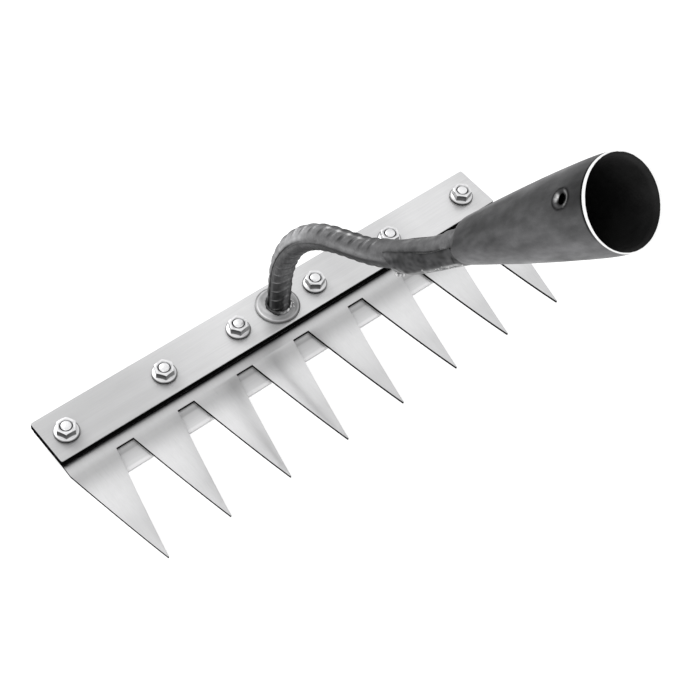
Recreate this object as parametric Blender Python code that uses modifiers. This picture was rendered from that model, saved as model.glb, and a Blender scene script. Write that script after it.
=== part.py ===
"""Head of a weeding rake: a toothed blade bolted under a flat bar, with a ribbed
swan neck welded to the bar and a tapered handle socket on the end of the neck.

Lengths are metres, angles are radians. X runs along the bar, the teeth point to -Y
and +Z is up. The head stands on its tooth tips and bolt heads, and the origin is
the middle of the base of its bounding box.
"""

import math

import bmesh
import bpy
from mathutils import Matrix, Vector

# Gap that every pair of touching solids keeps
CLEARANCE = 0.0003

# Top bar
BAR_LENGTH = 0.310
BAR_WIDTH = 0.030
BAR_THICKNESS = 0.0045
BAR_CORNER_RADIUS = 0.001
BAR_CORNER_STEPS = 4
BAR_EDGE_ROUND = 0.0004
BAR_EDGE_STEPS = 2

# Toothed blade; reaches are measured forward from the front edge of the bar
TOOTH_COUNT = 8
BLADE_END_MARGIN = 0.0005
NOTCH_ROOT_WIDTH = 0.011
ROOT_REACH = 0.0066
TIP_REACH = 0.0735
TIP_WIDTH = 0.0012
BLADE_THICKNESS = 0.0018
BLADE_REAR_MARGIN = 0.002
BLADE_DROP_EXPONENT = 1.6
TOOTH_BANDS = 4

# Backing strip under the blade
STRIP_REACH = 0.0203
STRIP_END_MARGIN = 0.0045
STRIP_REAR_MARGIN = 0.003
STRIP_THICKNESS = 0.0016

# Bolts from below and flange nuts on top. The holes were marked out by hand, so each
# is a little off the even spacing, and each hexagon stopped at its own angle
BOLT_RADIUS = 0.003
BOLT_SIDES = 16
BOLT_END_CHAMFER = 0.0005
BOLT_END_STANDOUT = 0.0005
BOLT_END_MARGIN = 0.0135
BOLT_ROW_Y = 0.014
BOLT_OFFSETS = (-0.001, 0.0055, -0.0005, -0.002, -0.002, -0.001)
BOLT_TURNS = tuple(math.radians(turn) for turn in (27, 36, 37, 54, 33, 46))
HEX_ACROSS_FLATS = 0.010
HEX_CHAMFER_ANGLE = math.radians(30)
HEAD_HEIGHT = 0.0036
NUT_HEIGHT = 0.006
NUT_COUNTERSINK = 0.0005
FLANGE_RADIUS = 0.0071
FLANGE_EDGE = 0.0009
FLANGE_HEIGHT = 0.0021
FLANGE_SIDES = 24

# Neck: a ribbed rod, upright, bent forward, then bent part of the way back up
NECK_X = 0.0
NECK_Y = 0.014
NECK_CORE_RADIUS = 0.0064
NECK_RIB_HEIGHT = 0.0007
NECK_RIB_WIDTH = 0.0042
NECK_RIB_PITCH = 0.0083
NECK_END_CHAMFER = 0.0012
NECK_RISE = 0.0255
NECK_BEND_RADIUS = 0.0835
NECK_BEND_ANGLE = math.radians(58.5)
NECK_RUN = 0.020
NECK_BACK_RADIUS = 0.150
NECK_BACK_ANGLE = math.radians(21.5)
NECK_TAIL = 0.050
NECK_BEVEL_RESOLUTION = 4

# Washer and weld at the foot of the neck
WASHER_RADIUS = 0.0123
WASHER_THICKNESS = 0.0016
WASHER_EDGE = 0.0004
WASHER_SIDES = 32
NECK_WELD_WIDTH = 0.0026
NECK_WELD_HEIGHT = 0.0020
NECK_WELD_STEPS = 4

# Socket, rolled from sheet, with a tongue that cups the underside of the neck
SOCKET_INSERT = 0.0105
SOCKET_LENGTH = 0.1136
SOCKET_WALL = 0.0019
SOCKET_MOUTH_RADIUS = 0.0201
SOCKET_SMALL_RADIUS = 0.0104
SOCKET_BELL_EXPONENT = 1.3
SOCKET_LIP_STRAIGHT = 0.006
SOCKET_ROWS = 9
SOCKET_SIDES = 32
TONGUE_LENGTH = 0.061
TONGUE_ROWS = 7
TONGUE_WRAP = math.radians(36)
SCREW_HOLE_RADIUS = 0.0026
SCREW_HOLE_FROM_MOUTH = 0.0138
SCREW_HOLE_ANGLE = math.radians(143)

# Welds that join the socket to the neck
SOCKET_WELD_REACH = 0.013
SOCKET_WELD_LIP = 0.0008
SOCKET_WELD_SWEEP = 1.3
SOCKET_WELD_ROWS = 4
SOCKET_WELD_MARGIN = math.radians(11.25)
TONGUE_BEAD_RADIUS = 0.0014
TONGUE_BEAD_SPREAD = math.radians(80)
TONGUE_BEAD_STEPS = 8
TONGUE_BEAD_RESOLUTION = 2

# How far a cutter reaches past what it cuts, and the distance at which points merge
CUT_MARGIN = 0.003
MERGE_DISTANCE = 0.000001
SMOOTH_ANGLE = math.radians(32)

# Colour, metallic value and roughness of each finish
BRIGHT_STEEL = ((0.72, 0.73, 0.74, 1.0), 0.9, 0.42)
ZINC_PLATE = ((0.82, 0.82, 0.82, 1.0), 0.9, 0.3)
MILL_SCALE = ((0.09, 0.09, 0.095, 1.0), 0.6, 0.55)

# Places that follow from the sizes above, in a frame whose origin is the middle of
# the bar's top front edge
BLADE_LENGTH = BAR_LENGTH - 2 * BLADE_END_MARGIN
TOOTH_PITCH = (BLADE_LENGTH + NOTCH_ROOT_WIDTH) / TOOTH_COUNT
BLADE_TOP = -BAR_THICKNESS - CLEARANCE
BLADE_UNDERSIDE = BLADE_TOP - BLADE_THICKNESS
STRIP_TOP = BLADE_UNDERSIDE - CLEARANCE
HEAD_TOP = STRIP_TOP - STRIP_THICKNESS - CLEARANCE
HEAD_UNDERSIDE = HEAD_TOP - HEAD_HEIGHT
TIP_DROP = BLADE_UNDERSIDE - HEAD_UNDERSIDE
HOLE_RADIUS = BOLT_RADIUS + CLEARANCE
NUT_BASE = CLEARANCE
NECK_CREST_RADIUS = NECK_CORE_RADIUS + NECK_RIB_HEIGHT
NECK_LENGTH = (NECK_RISE + NECK_BEND_RADIUS * NECK_BEND_ANGLE + NECK_RUN
               + NECK_BACK_RADIUS * NECK_BACK_ANGLE + NECK_TAIL)
SOCKET_START = NECK_LENGTH - SOCKET_INSERT


def clear_scene():
    """Removes every object of the scene that the script is run in."""
    for obj in list(bpy.data.objects):
        bpy.data.objects.remove(obj, do_unlink=True)


def make_material(name, finish):
    """One Principled BSDF material with a part's colour and finish."""
    colour, metallic, roughness = finish
    material = bpy.data.materials.new(name)
    material.use_nodes = True
    shader = material.node_tree.nodes["Principled BSDF"]
    shader.inputs["Base Color"].default_value = colour
    shader.inputs["Metallic"].default_value = metallic
    shader.inputs["Roughness"].default_value = roughness
    return material


def place(obj, collection, parent, finish):
    """Links an object as a part, under the given parent and with its own material."""
    collection.objects.link(obj)
    obj.parent = parent
    obj.data.materials.clear()
    obj.data.materials.append(make_material(obj.name + "_finish", finish))
    return obj


def object_from_bmesh(name, bm):
    """Turns a bmesh into an object that isn't linked yet."""
    bmesh.ops.recalc_face_normals(bm, faces=bm.faces)
    mesh = bpy.data.meshes.new(name)
    bm.to_mesh(mesh)
    bm.free()
    return bpy.data.objects.new(name, mesh)


def baked_mesh(obj, name):
    """Named mesh of a linked object with its modifiers applied; the object is removed."""
    bpy.context.view_layer.update()
    evaluated = obj.evaluated_get(bpy.context.evaluated_depsgraph_get())
    mesh = bpy.data.meshes.new_from_object(evaluated)
    bm = bmesh.new()
    bm.from_mesh(mesh)
    bmesh.ops.remove_doubles(bm, verts=bm.verts, dist=MERGE_DISTANCE)
    bm.to_mesh(mesh)
    bm.free()
    bpy.data.objects.remove(obj, do_unlink=True)
    mesh.name = name
    return mesh


def shade_round(mesh):
    """Smooth shading with sharp edges kept where faces meet steeply."""
    mesh.shade_smooth()
    mesh.set_sharp_from_angle(angle=SMOOTH_ANGLE)


def add_cylinder(bm, radius, low, high, sides, top_radius=None, place_at=Matrix.Identity(4)):
    """Adds a capped cylinder or cone between two heights."""
    move = place_at @ Matrix.Translation((0, 0, (low + high) / 2))
    bmesh.ops.create_cone(bm, cap_ends=True, segments=sides, radius1=radius,
                          radius2=radius if top_radius is None else top_radius,
                          depth=high - low, matrix=move)


def add_taper(bm, rise, share):
    """Grows the top face of an upright turned shape by a step that narrows to a share of its width."""
    top = max(bm.faces, key=lambda face: face.calc_center_median().z)
    step = bmesh.ops.extrude_discrete_faces(bm, faces=[top])["faces"][0]
    bmesh.ops.translate(bm, verts=step.verts, vec=(0, 0, rise))
    bmesh.ops.scale(bm, verts=step.verts, vec=(share, share, 1))


def make_cutter(name, bm, cutters, parent=None):
    """Links a cutting shape in its own collection, drawn as wire and left out of renders."""
    cutter = object_from_bmesh(name, bm)
    cutters.objects.link(cutter)
    cutter.parent = parent
    cutter.hide_render = True
    cutter.display_type = "WIRE"
    return cutter


def cut(obj, cutter, operation="DIFFERENCE"):
    """Adds an exact Boolean with the given cutter."""
    modifier = obj.modifiers.new(cutter.name, "BOOLEAN")
    modifier.operation = operation
    modifier.solver = "EXACT"
    modifier.object = cutter


def bolt_places():
    """Where the bolts stand along the bar."""
    step = (BAR_LENGTH - 2 * BOLT_END_MARGIN) / (len(BOLT_OFFSETS) - 1)
    first = -BAR_LENGTH / 2 + BOLT_END_MARGIN
    return [first + index * step + offset for index, offset in enumerate(BOLT_OFFSETS)]


def bolt_hole_cutter(name, cutters, root):
    """One cylinder for each bolt, through the whole stack of plates."""
    bm = bmesh.new()
    for x in bolt_places():
        add_cylinder(bm, HOLE_RADIUS, HEAD_TOP - CUT_MARGIN, CUT_MARGIN, BOLT_SIDES,
                     place_at=Matrix.Translation((x, BOLT_ROW_Y, 0)))
    return make_cutter(name, bm, cutters, root)


def make_top_bar(parts, cutters, root):
    """Flat bar with rounded corners, broken edges and bolt holes."""
    bm = bmesh.new()
    size = Matrix.Diagonal((BAR_LENGTH, BAR_WIDTH, BAR_THICKNESS, 1))
    centre = Matrix.Translation((0, BAR_WIDTH / 2, -BAR_THICKNESS / 2))
    bmesh.ops.create_cube(bm, size=1, matrix=centre @ size)
    upright = [edge for edge in bm.edges
               if abs(edge.verts[0].co.z - edge.verts[1].co.z) > MERGE_DISTANCE]
    bmesh.ops.bevel(bm, geom=upright, offset=BAR_CORNER_RADIUS, segments=BAR_CORNER_STEPS,
                    profile=0.5, affect="EDGES", material=-1)
    rims = [edge for edge in bm.edges
            if abs(edge.verts[0].co.z - edge.verts[1].co.z) < MERGE_DISTANCE]
    bmesh.ops.bevel(bm, geom=rims, offset=BAR_EDGE_ROUND, segments=BAR_EDGE_STEPS,
                    profile=0.5, affect="EDGES", material=-1)
    bar = place(object_from_bmesh("top_bar", bm), parts, root, BRIGHT_STEEL)
    cut(bar, bolt_hole_cutter("bar_holes", cutters, root))
    shade_round(bar.data)


def bend_lines():
    """Reaches at which the blade and the strip change their slope."""
    step = (TIP_REACH - STRIP_REACH) / TOOTH_BANDS
    return [0.0, ROOT_REACH] + [STRIP_REACH + step * band for band in range(TOOTH_BANDS + 1)]


def drop_at(reach):
    """How far the blade has dropped at a reach: soon at first, then ever less."""
    share = min(max(reach / TIP_REACH, 0.0), 1.0)
    return TIP_DROP * (1 - (1 - share) ** BLADE_DROP_EXPONENT)


def make_plate(name, outline, top, thickness, parts, cutters, root):
    """A plate cut to an outline, drilled for the bolts and bent down in front of the bar."""
    bm = bmesh.new()
    face = bm.faces.new([bm.verts.new((x, y, top)) for x, y in outline])
    grown = bmesh.ops.extrude_face_region(bm, geom=[face])["geom"]
    lower = [item for item in grown if isinstance(item, bmesh.types.BMVert)]
    bmesh.ops.translate(bm, verts=lower, vec=(0, 0, -thickness))
    for reach in bend_lines():
        bmesh.ops.bisect_plane(bm, geom=bm.verts[:] + bm.edges[:] + bm.faces[:], dist=MERGE_DISTANCE,
                               plane_co=(0, -reach, 0), plane_no=(0, 1, 0))
    for vert in bm.verts:
        vert.co.z -= drop_at(-vert.co.y)
    plate = place(object_from_bmesh(name, bm), parts, root, BRIGHT_STEEL)
    cut(plate, bolt_hole_cutter(name + "_holes", cutters, root))


def make_toothed_blade(parts, cutters, root):
    """Blade clamped under the bar: a straight rear edge, and teeth with flat roots between them."""
    half = BLADE_LENGTH / 2
    rear = BAR_WIDTH - BLADE_REAR_MARGIN
    outline = [(half, rear), (-half, rear)]
    for tooth in range(TOOTH_COUNT):
        left = -half + tooth * TOOTH_PITCH
        right = left + TOOTH_PITCH - NOTCH_ROOT_WIDTH
        middle = (left + right) / 2
        outline.append((left, -ROOT_REACH))
        outline.append((middle - TIP_WIDTH / 2, -TIP_REACH))
        outline.append((middle + TIP_WIDTH / 2, -TIP_REACH))
        outline.append((right, -ROOT_REACH))
    make_plate("toothed_blade", outline, BLADE_TOP, BLADE_THICKNESS, parts, cutters, root)


def make_backing_strip(parts, cutters, root):
    """Narrower plate under the blade, seen through the notches."""
    half = BAR_LENGTH / 2 - STRIP_END_MARGIN
    rear = BAR_WIDTH - STRIP_REAR_MARGIN
    outline = [(half, rear), (-half, rear), (-half, -STRIP_REACH), (half, -STRIP_REACH)]
    make_plate("backing_strip", outline, STRIP_TOP, STRIP_THICKNESS, parts, cutters, root)


def make_hexagon(name, inner, outer, cutters):
    """Six-sided prism between two heights, with the corners of its outer end chamfered."""
    height = abs(outer - inner)
    flat = HEX_ACROSS_FLATS / 2
    flip = Matrix.Rotation(math.pi if outer < inner else 0.0, 4, "X")
    end = Matrix.Translation((0, 0, outer)) @ flip
    bm = bmesh.new()
    add_cylinder(bm, flat / math.cos(math.pi / 6), -height, 0, 6, place_at=end)
    hexagon = object_from_bmesh(name, bm)
    cutters.objects.link(hexagon)
    reach = height + CUT_MARGIN
    bm = bmesh.new()
    add_cylinder(bm, flat + reach / math.tan(HEX_CHAMFER_ANGLE), -reach, 0, FLANGE_SIDES,
                 top_radius=flat, place_at=end)
    cut(hexagon, make_cutter(name + "_chamfer", bm, cutters), "INTERSECT")
    return hexagon


def bolt_mesh(cutters):
    """Hex head bolt with its origin in the middle of its head's upper side, its shank upwards."""
    end = NUT_BASE + NUT_HEIGHT + BOLT_END_STANDOUT - HEAD_TOP
    bolt = make_hexagon("bolt_head", 0, -HEAD_HEIGHT, cutters)
    bm = bmesh.new()
    add_cylinder(bm, BOLT_RADIUS, -HEAD_HEIGHT / 2, end - BOLT_END_CHAMFER, BOLT_SIDES)
    add_taper(bm, BOLT_END_CHAMFER, (BOLT_RADIUS - BOLT_END_CHAMFER) / BOLT_RADIUS)
    cut(bolt, make_cutter("bolt_shank", bm, cutters), "UNION")
    return baked_mesh(bolt, "bolt")


def nut_mesh(cutters):
    """Hex flange nut with its origin in the middle of its underside."""
    nut = make_hexagon("nut_body", 0, NUT_HEIGHT, cutters)
    flange = bmesh.new()
    add_cylinder(flange, FLANGE_RADIUS, 0, FLANGE_EDGE, FLANGE_SIDES)
    add_taper(flange, FLANGE_HEIGHT - FLANGE_EDGE, HEX_ACROSS_FLATS / 2 / FLANGE_RADIUS)
    cut(nut, make_cutter("nut_flange", flange, cutters), "UNION")
    bore = bmesh.new()
    add_cylinder(bore, HOLE_RADIUS, -CUT_MARGIN, NUT_HEIGHT + CUT_MARGIN, BOLT_SIDES)
    cut(nut, make_cutter("nut_bore", bore, cutters))
    countersink = bmesh.new()
    add_cylinder(countersink, HOLE_RADIUS, NUT_HEIGHT - NUT_COUNTERSINK, NUT_HEIGHT + NUT_COUNTERSINK,
                 BOLT_SIDES, top_radius=HOLE_RADIUS + 2 * NUT_COUNTERSINK)
    cut(nut, make_cutter("nut_countersink", countersink, cutters))
    return baked_mesh(nut, "flange_nut")


def make_fasteners(parts, cutters, root):
    """Bolts from below and flange nuts on top of the bar."""
    kinds = (("bolt", bolt_mesh(cutters), HEAD_TOP), ("nut", nut_mesh(cutters), NUT_BASE))
    for kind, mesh, base in kinds:
        shade_round(mesh)
        mesh.materials.append(make_material(kind + "_finish", ZINC_PLATE))
        for index, (x, turn) in enumerate(zip(bolt_places(), BOLT_TURNS)):
            piece = bpy.data.objects.new(f"{kind}_{index + 1}", mesh)
            parts.objects.link(piece)
            piece.parent = root
            piece.location = (x, BOLT_ROW_Y, base)
            piece.rotation_euler.z = turn


def neck_frame(distance):
    """Centre of the neck's line and its direction at a distance; past its end it runs straight on."""
    stretches = ((NECK_RISE, 0.0), (NECK_BEND_RADIUS * NECK_BEND_ANGLE, 1 / NECK_BEND_RADIUS),
                 (NECK_RUN, 0.0), (NECK_BACK_RADIUS * NECK_BACK_ANGLE, -1 / NECK_BACK_RADIUS),
                 (math.inf, 0.0))
    spot = Vector((NECK_X, NECK_Y, CLEARANCE))
    lean = 0.0
    left = distance
    for length, curvature in stretches:
        step = min(left, length)
        turn = step * curvature
        if curvature:
            forward = (math.cos(lean) - math.cos(lean + turn)) / curvature
            upward = (math.sin(lean + turn) - math.sin(lean)) / curvature
        else:
            forward = step * math.sin(lean)
            upward = step * math.cos(lean)
        spot += Vector((0, -forward, upward))
        lean += turn
        left -= step
    return spot, Vector((0, -math.sin(lean), math.cos(lean)))


def section_point(distance, radius, angle):
    """Point round the neck's line: angle 0 is +X, and a quarter turn is the side away from the teeth."""
    centre, along = neck_frame(distance)
    away = Vector((0, along.z, -along.y))
    return centre + radius * (math.cos(angle) * Vector((1, 0, 0)) + math.sin(angle) * away)


def neck_stations():
    """Distances along the neck and the radius there: plain at the foot, then a low ring for each rib."""
    plain = WASHER_THICKNESS + NECK_WELD_HEIGHT + 2 * CLEARANCE
    last = NECK_LENGTH - NECK_END_CHAMFER
    stations = [(0.0, NECK_CORE_RADIUS)]
    for rib in range(int((last - plain) / NECK_RIB_PITCH)):
        crest = plain + NECK_RIB_WIDTH / 2 + rib * NECK_RIB_PITCH
        stations.append((crest - NECK_RIB_WIDTH / 2, NECK_CORE_RADIUS))
        stations.append((crest, NECK_CREST_RADIUS))
        stations.append((crest + NECK_RIB_WIDTH / 2, NECK_CORE_RADIUS))
    stations.append((last, NECK_CORE_RADIUS))
    stations.append((NECK_LENGTH, NECK_CORE_RADIUS - NECK_END_CHAMFER))
    return stations


def tube_object(name, points, radius, resolution):
    """Tube with filled ends through (point, share of the radius) pairs."""
    curve = bpy.data.curves.new(name, "CURVE")
    curve.dimensions = "3D"
    curve.bevel_depth = radius
    curve.bevel_resolution = resolution
    curve.use_fill_caps = True
    spline = curve.splines.new("POLY")
    spline.points.add(len(points) - 1)
    for control, (point, share) in zip(spline.points, points):
        control.co = (*point, 1)
        control.radius = share
    return bpy.data.objects.new(name, curve)


def make_neck_rod(parts, root):
    """Ribbed reinforcing rod, bent as a swan neck."""
    points = [(neck_frame(distance)[0], radius / NECK_CORE_RADIUS)
              for distance, radius in neck_stations()]
    rod = tube_object("neck_rod", points, NECK_CORE_RADIUS, NECK_BEVEL_RESOLUTION)
    place(rod, parts, root, MILL_SCALE)


def turned_ring(name, profile):
    """A closed profile of (radius, height) points, turned round the foot of the neck."""
    bm = bmesh.new()
    verts = [bm.verts.new((radius, 0, height)) for radius, height in profile]
    for index, vert in enumerate(verts):
        bm.edges.new((vert, verts[(index + 1) % len(verts)]))
    mesh = bpy.data.meshes.new(name)
    bm.to_mesh(mesh)
    bm.free()
    ring = bpy.data.objects.new(name, mesh)
    screw = ring.modifiers.new("turn", "SCREW")
    screw.steps = WASHER_SIDES
    screw.render_steps = WASHER_SIDES
    screw.use_merge_vertices = True
    screw.merge_threshold = MERGE_DISTANCE
    ring.location = (NECK_X, NECK_Y, 0)
    return ring


def make_neck_washer(parts, root):
    """Flat washer round the foot of the neck."""
    inner = NECK_CREST_RADIUS + CLEARANCE
    low = CLEARANCE
    high = CLEARANCE + WASHER_THICKNESS
    profile = [(inner, high), (WASHER_RADIUS - WASHER_EDGE, high), (WASHER_RADIUS, high - WASHER_EDGE),
               (WASHER_RADIUS, low), (inner, low)]
    place(turned_ring("neck_washer", profile), parts, root, ZINC_PLATE)


def make_neck_weld(parts, root):
    """Round weld bead in the corner between the neck and its washer."""
    inner = NECK_CORE_RADIUS + CLEARANCE
    width = NECK_CREST_RADIUS + NECK_WELD_WIDTH - inner
    low = 2 * CLEARANCE + WASHER_THICKNESS
    profile = []
    for step in range(NECK_WELD_STEPS + 1):
        angle = math.pi / 2 * (1 - step / NECK_WELD_STEPS)
        profile.append((inner + width * math.cos(angle), low + NECK_WELD_HEIGHT * math.sin(angle)))
    profile.append((inner, low))
    place(turned_ring("neck_weld", profile), parts, root, MILL_SCALE)


def socket_radius(share):
    """Outer radius at a share of the way from the small end to the mouth: quick at first, then level."""
    straight = 1 - SOCKET_LIP_STRAIGHT / SOCKET_LENGTH
    grown = 1 - (1 - min(share / straight, 1.0)) ** SOCKET_BELL_EXPONENT
    return SOCKET_SMALL_RADIUS + (SOCKET_MOUTH_RADIUS - SOCKET_SMALL_RADIUS) * grown


def socket_rings():
    """Rings of points from the mouth to the small end."""
    straight = 1 - SOCKET_LIP_STRAIGHT / SOCKET_LENGTH
    shares = [1.0] + [straight * (1 - row / SOCKET_ROWS) for row in range(SOCKET_ROWS + 1)]
    angles = [2 * math.pi * side / SOCKET_SIDES for side in range(SOCKET_SIDES)]
    return [[section_point(SOCKET_START + share * SOCKET_LENGTH, socket_radius(share), angle)
             for angle in angles] for share in shares]


def tongue_rings():
    """Open rings of points from the small end to the tongue's free end, each wrapped a little further."""
    hug = NECK_CREST_RADIUS + CLEARANCE + SOCKET_WALL
    half = SOCKET_SIDES // 2
    rings = []
    for row in range(1, TONGUE_ROWS + 1):
        share = row / TONGUE_ROWS
        radius = SOCKET_SMALL_RADIUS + (hug - SOCKET_SMALL_RADIUS) * share
        wrap = TONGUE_WRAP * share
        angles = [math.pi - wrap + (math.pi + 2 * wrap) * side / half for side in range(half + 1)]
        distance = SOCKET_START - TONGUE_LENGTH * share
        rings.append([section_point(distance, radius, angle) for angle in angles])
    return rings


def loft(bm, first, second, closed):
    """Faces between two rows of points that have the same count."""
    count = len(first)
    for index in range(count if closed else count - 1):
        following = (index + 1) % count
        bm.faces.new((first[index], first[following], second[following], second[index]))


def screw_hole_cutter(cutters, root):
    """Round pin that pierces one wall of the socket near its mouth."""
    distance = SOCKET_START + SOCKET_LENGTH - SCREW_HOLE_FROM_MOUTH
    radius = socket_radius(1 - SCREW_HOLE_FROM_MOUTH / SOCKET_LENGTH)
    outer = section_point(distance, radius + CUT_MARGIN, SCREW_HOLE_ANGLE)
    inner = section_point(distance, radius - SOCKET_WALL - CUT_MARGIN, SCREW_HOLE_ANGLE)
    turn = (outer - inner).to_track_quat("Z", "Y").to_matrix().to_4x4()
    bm = bmesh.new()
    add_cylinder(bm, SCREW_HOLE_RADIUS, 0, (outer - inner).length, BOLT_SIDES,
                 place_at=Matrix.Translation(inner) @ turn)
    return make_cutter("screw_hole", bm, cutters, root)


def make_socket(parts, cutters, root):
    """Tapered socket and its tongue in one sheet, open at the mouth, with a screw hole."""
    bm = bmesh.new()
    rings = [[bm.verts.new(point) for point in ring] for ring in socket_rings()]
    for first, second in zip(rings, rings[1:]):
        loft(bm, first, second, closed=True)
    half = SOCKET_SIDES // 2
    lower_edge = rings[-1][half:] + rings[-1][:1]
    tongue = [lower_edge] + [[bm.verts.new(point) for point in ring] for ring in tongue_rings()]
    for first, second in zip(tongue, tongue[1:]):
        loft(bm, first, second, closed=False)
    socket = place(object_from_bmesh("socket", bm), parts, root, MILL_SCALE)
    wall = socket.modifiers.new("wall", "SOLIDIFY")
    wall.thickness = SOCKET_WALL
    wall.offset = -1
    wall.use_even_offset = True
    cut(socket, screw_hole_cutter(cutters, root))
    shade_round(socket.data)


def make_socket_weld(parts, root):
    """Weld that ramps from the upper side of the neck to the small end of the socket."""
    inner = NECK_CREST_RADIUS + CLEARANCE
    stations = []
    for row in range(SOCKET_WELD_ROWS + 1):
        share = row / SOCKET_WELD_ROWS
        low = inner + SOCKET_WELD_LIP
        radius = low + (SOCKET_SMALL_RADIUS - low) * share ** SOCKET_WELD_SWEEP
        stations.append((SOCKET_START - CLEARANCE - SOCKET_WELD_REACH * (1 - share), radius))
    steps = SOCKET_SIDES // 2
    bm = bmesh.new()
    sections = []
    for step in range(steps + 1):
        angle = SOCKET_WELD_MARGIN + (math.pi - 2 * SOCKET_WELD_MARGIN) * step / steps
        under = [section_point(distance, inner, angle) for distance, _ in stations]
        over = [section_point(distance, radius, angle) for distance, radius in reversed(stations)]
        sections.append([bm.verts.new(point) for point in under + over])
    for first, second in zip(sections, sections[1:]):
        loft(bm, first, second, closed=True)
    bm.faces.new(sections[0])
    bm.faces.new(reversed(sections[-1]))
    weld = place(object_from_bmesh("socket_weld", bm), parts, root, MILL_SCALE)
    shade_round(weld.data)


def make_tongue_weld(parts, root):
    """Round bead under the neck, across the middle of the tongue's free end."""
    radius = NECK_CREST_RADIUS + CLEARANCE + TONGUE_BEAD_RADIUS
    distance = SOCKET_START - TONGUE_LENGTH - TONGUE_BEAD_RADIUS - CLEARANCE
    points = []
    for step in range(TONGUE_BEAD_STEPS + 1):
        angle = 1.5 * math.pi + TONGUE_BEAD_SPREAD * (step / TONGUE_BEAD_STEPS - 0.5)
        points.append((section_point(distance, radius, angle), 1.0))
    weld = tube_object("tongue_weld", points, TONGUE_BEAD_RADIUS, TONGUE_BEAD_RESOLUTION)
    place(weld, parts, root, MILL_SCALE)


def make_root(parts):
    """Empty at the middle of the bar's top front edge, set so that the base's centre is the origin."""
    mouth, along = neck_frame(SOCKET_START + SOCKET_LENGTH)
    front = mouth.y - SOCKET_MOUTH_RADIUS * along.z
    root = bpy.data.objects.new("bar_edge", None)
    root.location = (0, -(BAR_WIDTH + front) / 2, -HEAD_UNDERSIDE)
    parts.objects.link(root)
    return root


def main():
    """Builds the whole head."""
    clear_scene()
    parts = bpy.data.collections.new("weeding_rake")
    cutters = bpy.data.collections.new("cutters")
    bpy.context.scene.collection.children.link(parts)
    bpy.context.scene.collection.children.link(cutters)
    root = make_root(parts)
    make_top_bar(parts, cutters, root)
    make_toothed_blade(parts, cutters, root)
    make_backing_strip(parts, cutters, root)
    make_fasteners(parts, cutters, root)
    make_neck_rod(parts, root)
    make_neck_washer(parts, root)
    make_neck_weld(parts, root)
    make_socket(parts, cutters, root)
    make_socket_weld(parts, root)
    make_tongue_weld(parts, root)


main()
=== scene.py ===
"""Looks of a weeding rake head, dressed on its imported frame.

The file is laid out as an add-on and is run as a script. Lengths are metres. X runs
along the bar, the teeth point to -Y and +Z is up, as in the frame.
"""

import math
import random

import bmesh
import bpy
from bpy.props import FloatProperty, FloatVectorProperty, IntProperty, PointerProperty
from mathutils import Matrix, Vector, noise


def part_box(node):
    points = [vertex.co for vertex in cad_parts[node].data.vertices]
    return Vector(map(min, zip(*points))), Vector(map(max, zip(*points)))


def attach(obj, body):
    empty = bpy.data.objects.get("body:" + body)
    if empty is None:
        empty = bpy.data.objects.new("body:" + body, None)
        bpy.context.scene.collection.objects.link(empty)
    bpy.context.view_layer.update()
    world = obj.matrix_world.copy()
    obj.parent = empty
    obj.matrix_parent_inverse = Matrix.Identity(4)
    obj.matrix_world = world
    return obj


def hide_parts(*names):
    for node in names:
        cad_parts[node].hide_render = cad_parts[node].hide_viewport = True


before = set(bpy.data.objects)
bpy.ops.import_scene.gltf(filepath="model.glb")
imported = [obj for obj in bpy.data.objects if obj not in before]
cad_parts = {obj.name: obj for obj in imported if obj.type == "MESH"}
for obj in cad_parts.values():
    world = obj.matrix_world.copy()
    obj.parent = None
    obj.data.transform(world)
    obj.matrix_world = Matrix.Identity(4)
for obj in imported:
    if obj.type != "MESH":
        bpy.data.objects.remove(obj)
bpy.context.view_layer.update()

bl_info = {
    "name": "Weeding rake head",
    "version": (1, 0, 0),
    "blender": (4, 5, 0),
    "location": "View3D > Sidebar > Rake",
    "description": "Dresses the frame of a weeding rake head with detailed pieces and finishes",
    "category": "Object",
}

BAR_LOW, BAR_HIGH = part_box("top_bar")
WASHER_LOW, WASHER_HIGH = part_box("neck_washer")
BLADE_LOW, BLADE_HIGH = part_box("toothed_blade")
STRIP_LOW, STRIP_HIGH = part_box("backing_strip")
BOLT_COUNT = 6
BAR_FRONT = BAR_LOW.y
BAR_TOP = BAR_HIGH.z
GAP = 0.0003
MERGE_DISTANCE = 0.000002
QUARTER = math.pi / 2


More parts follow.
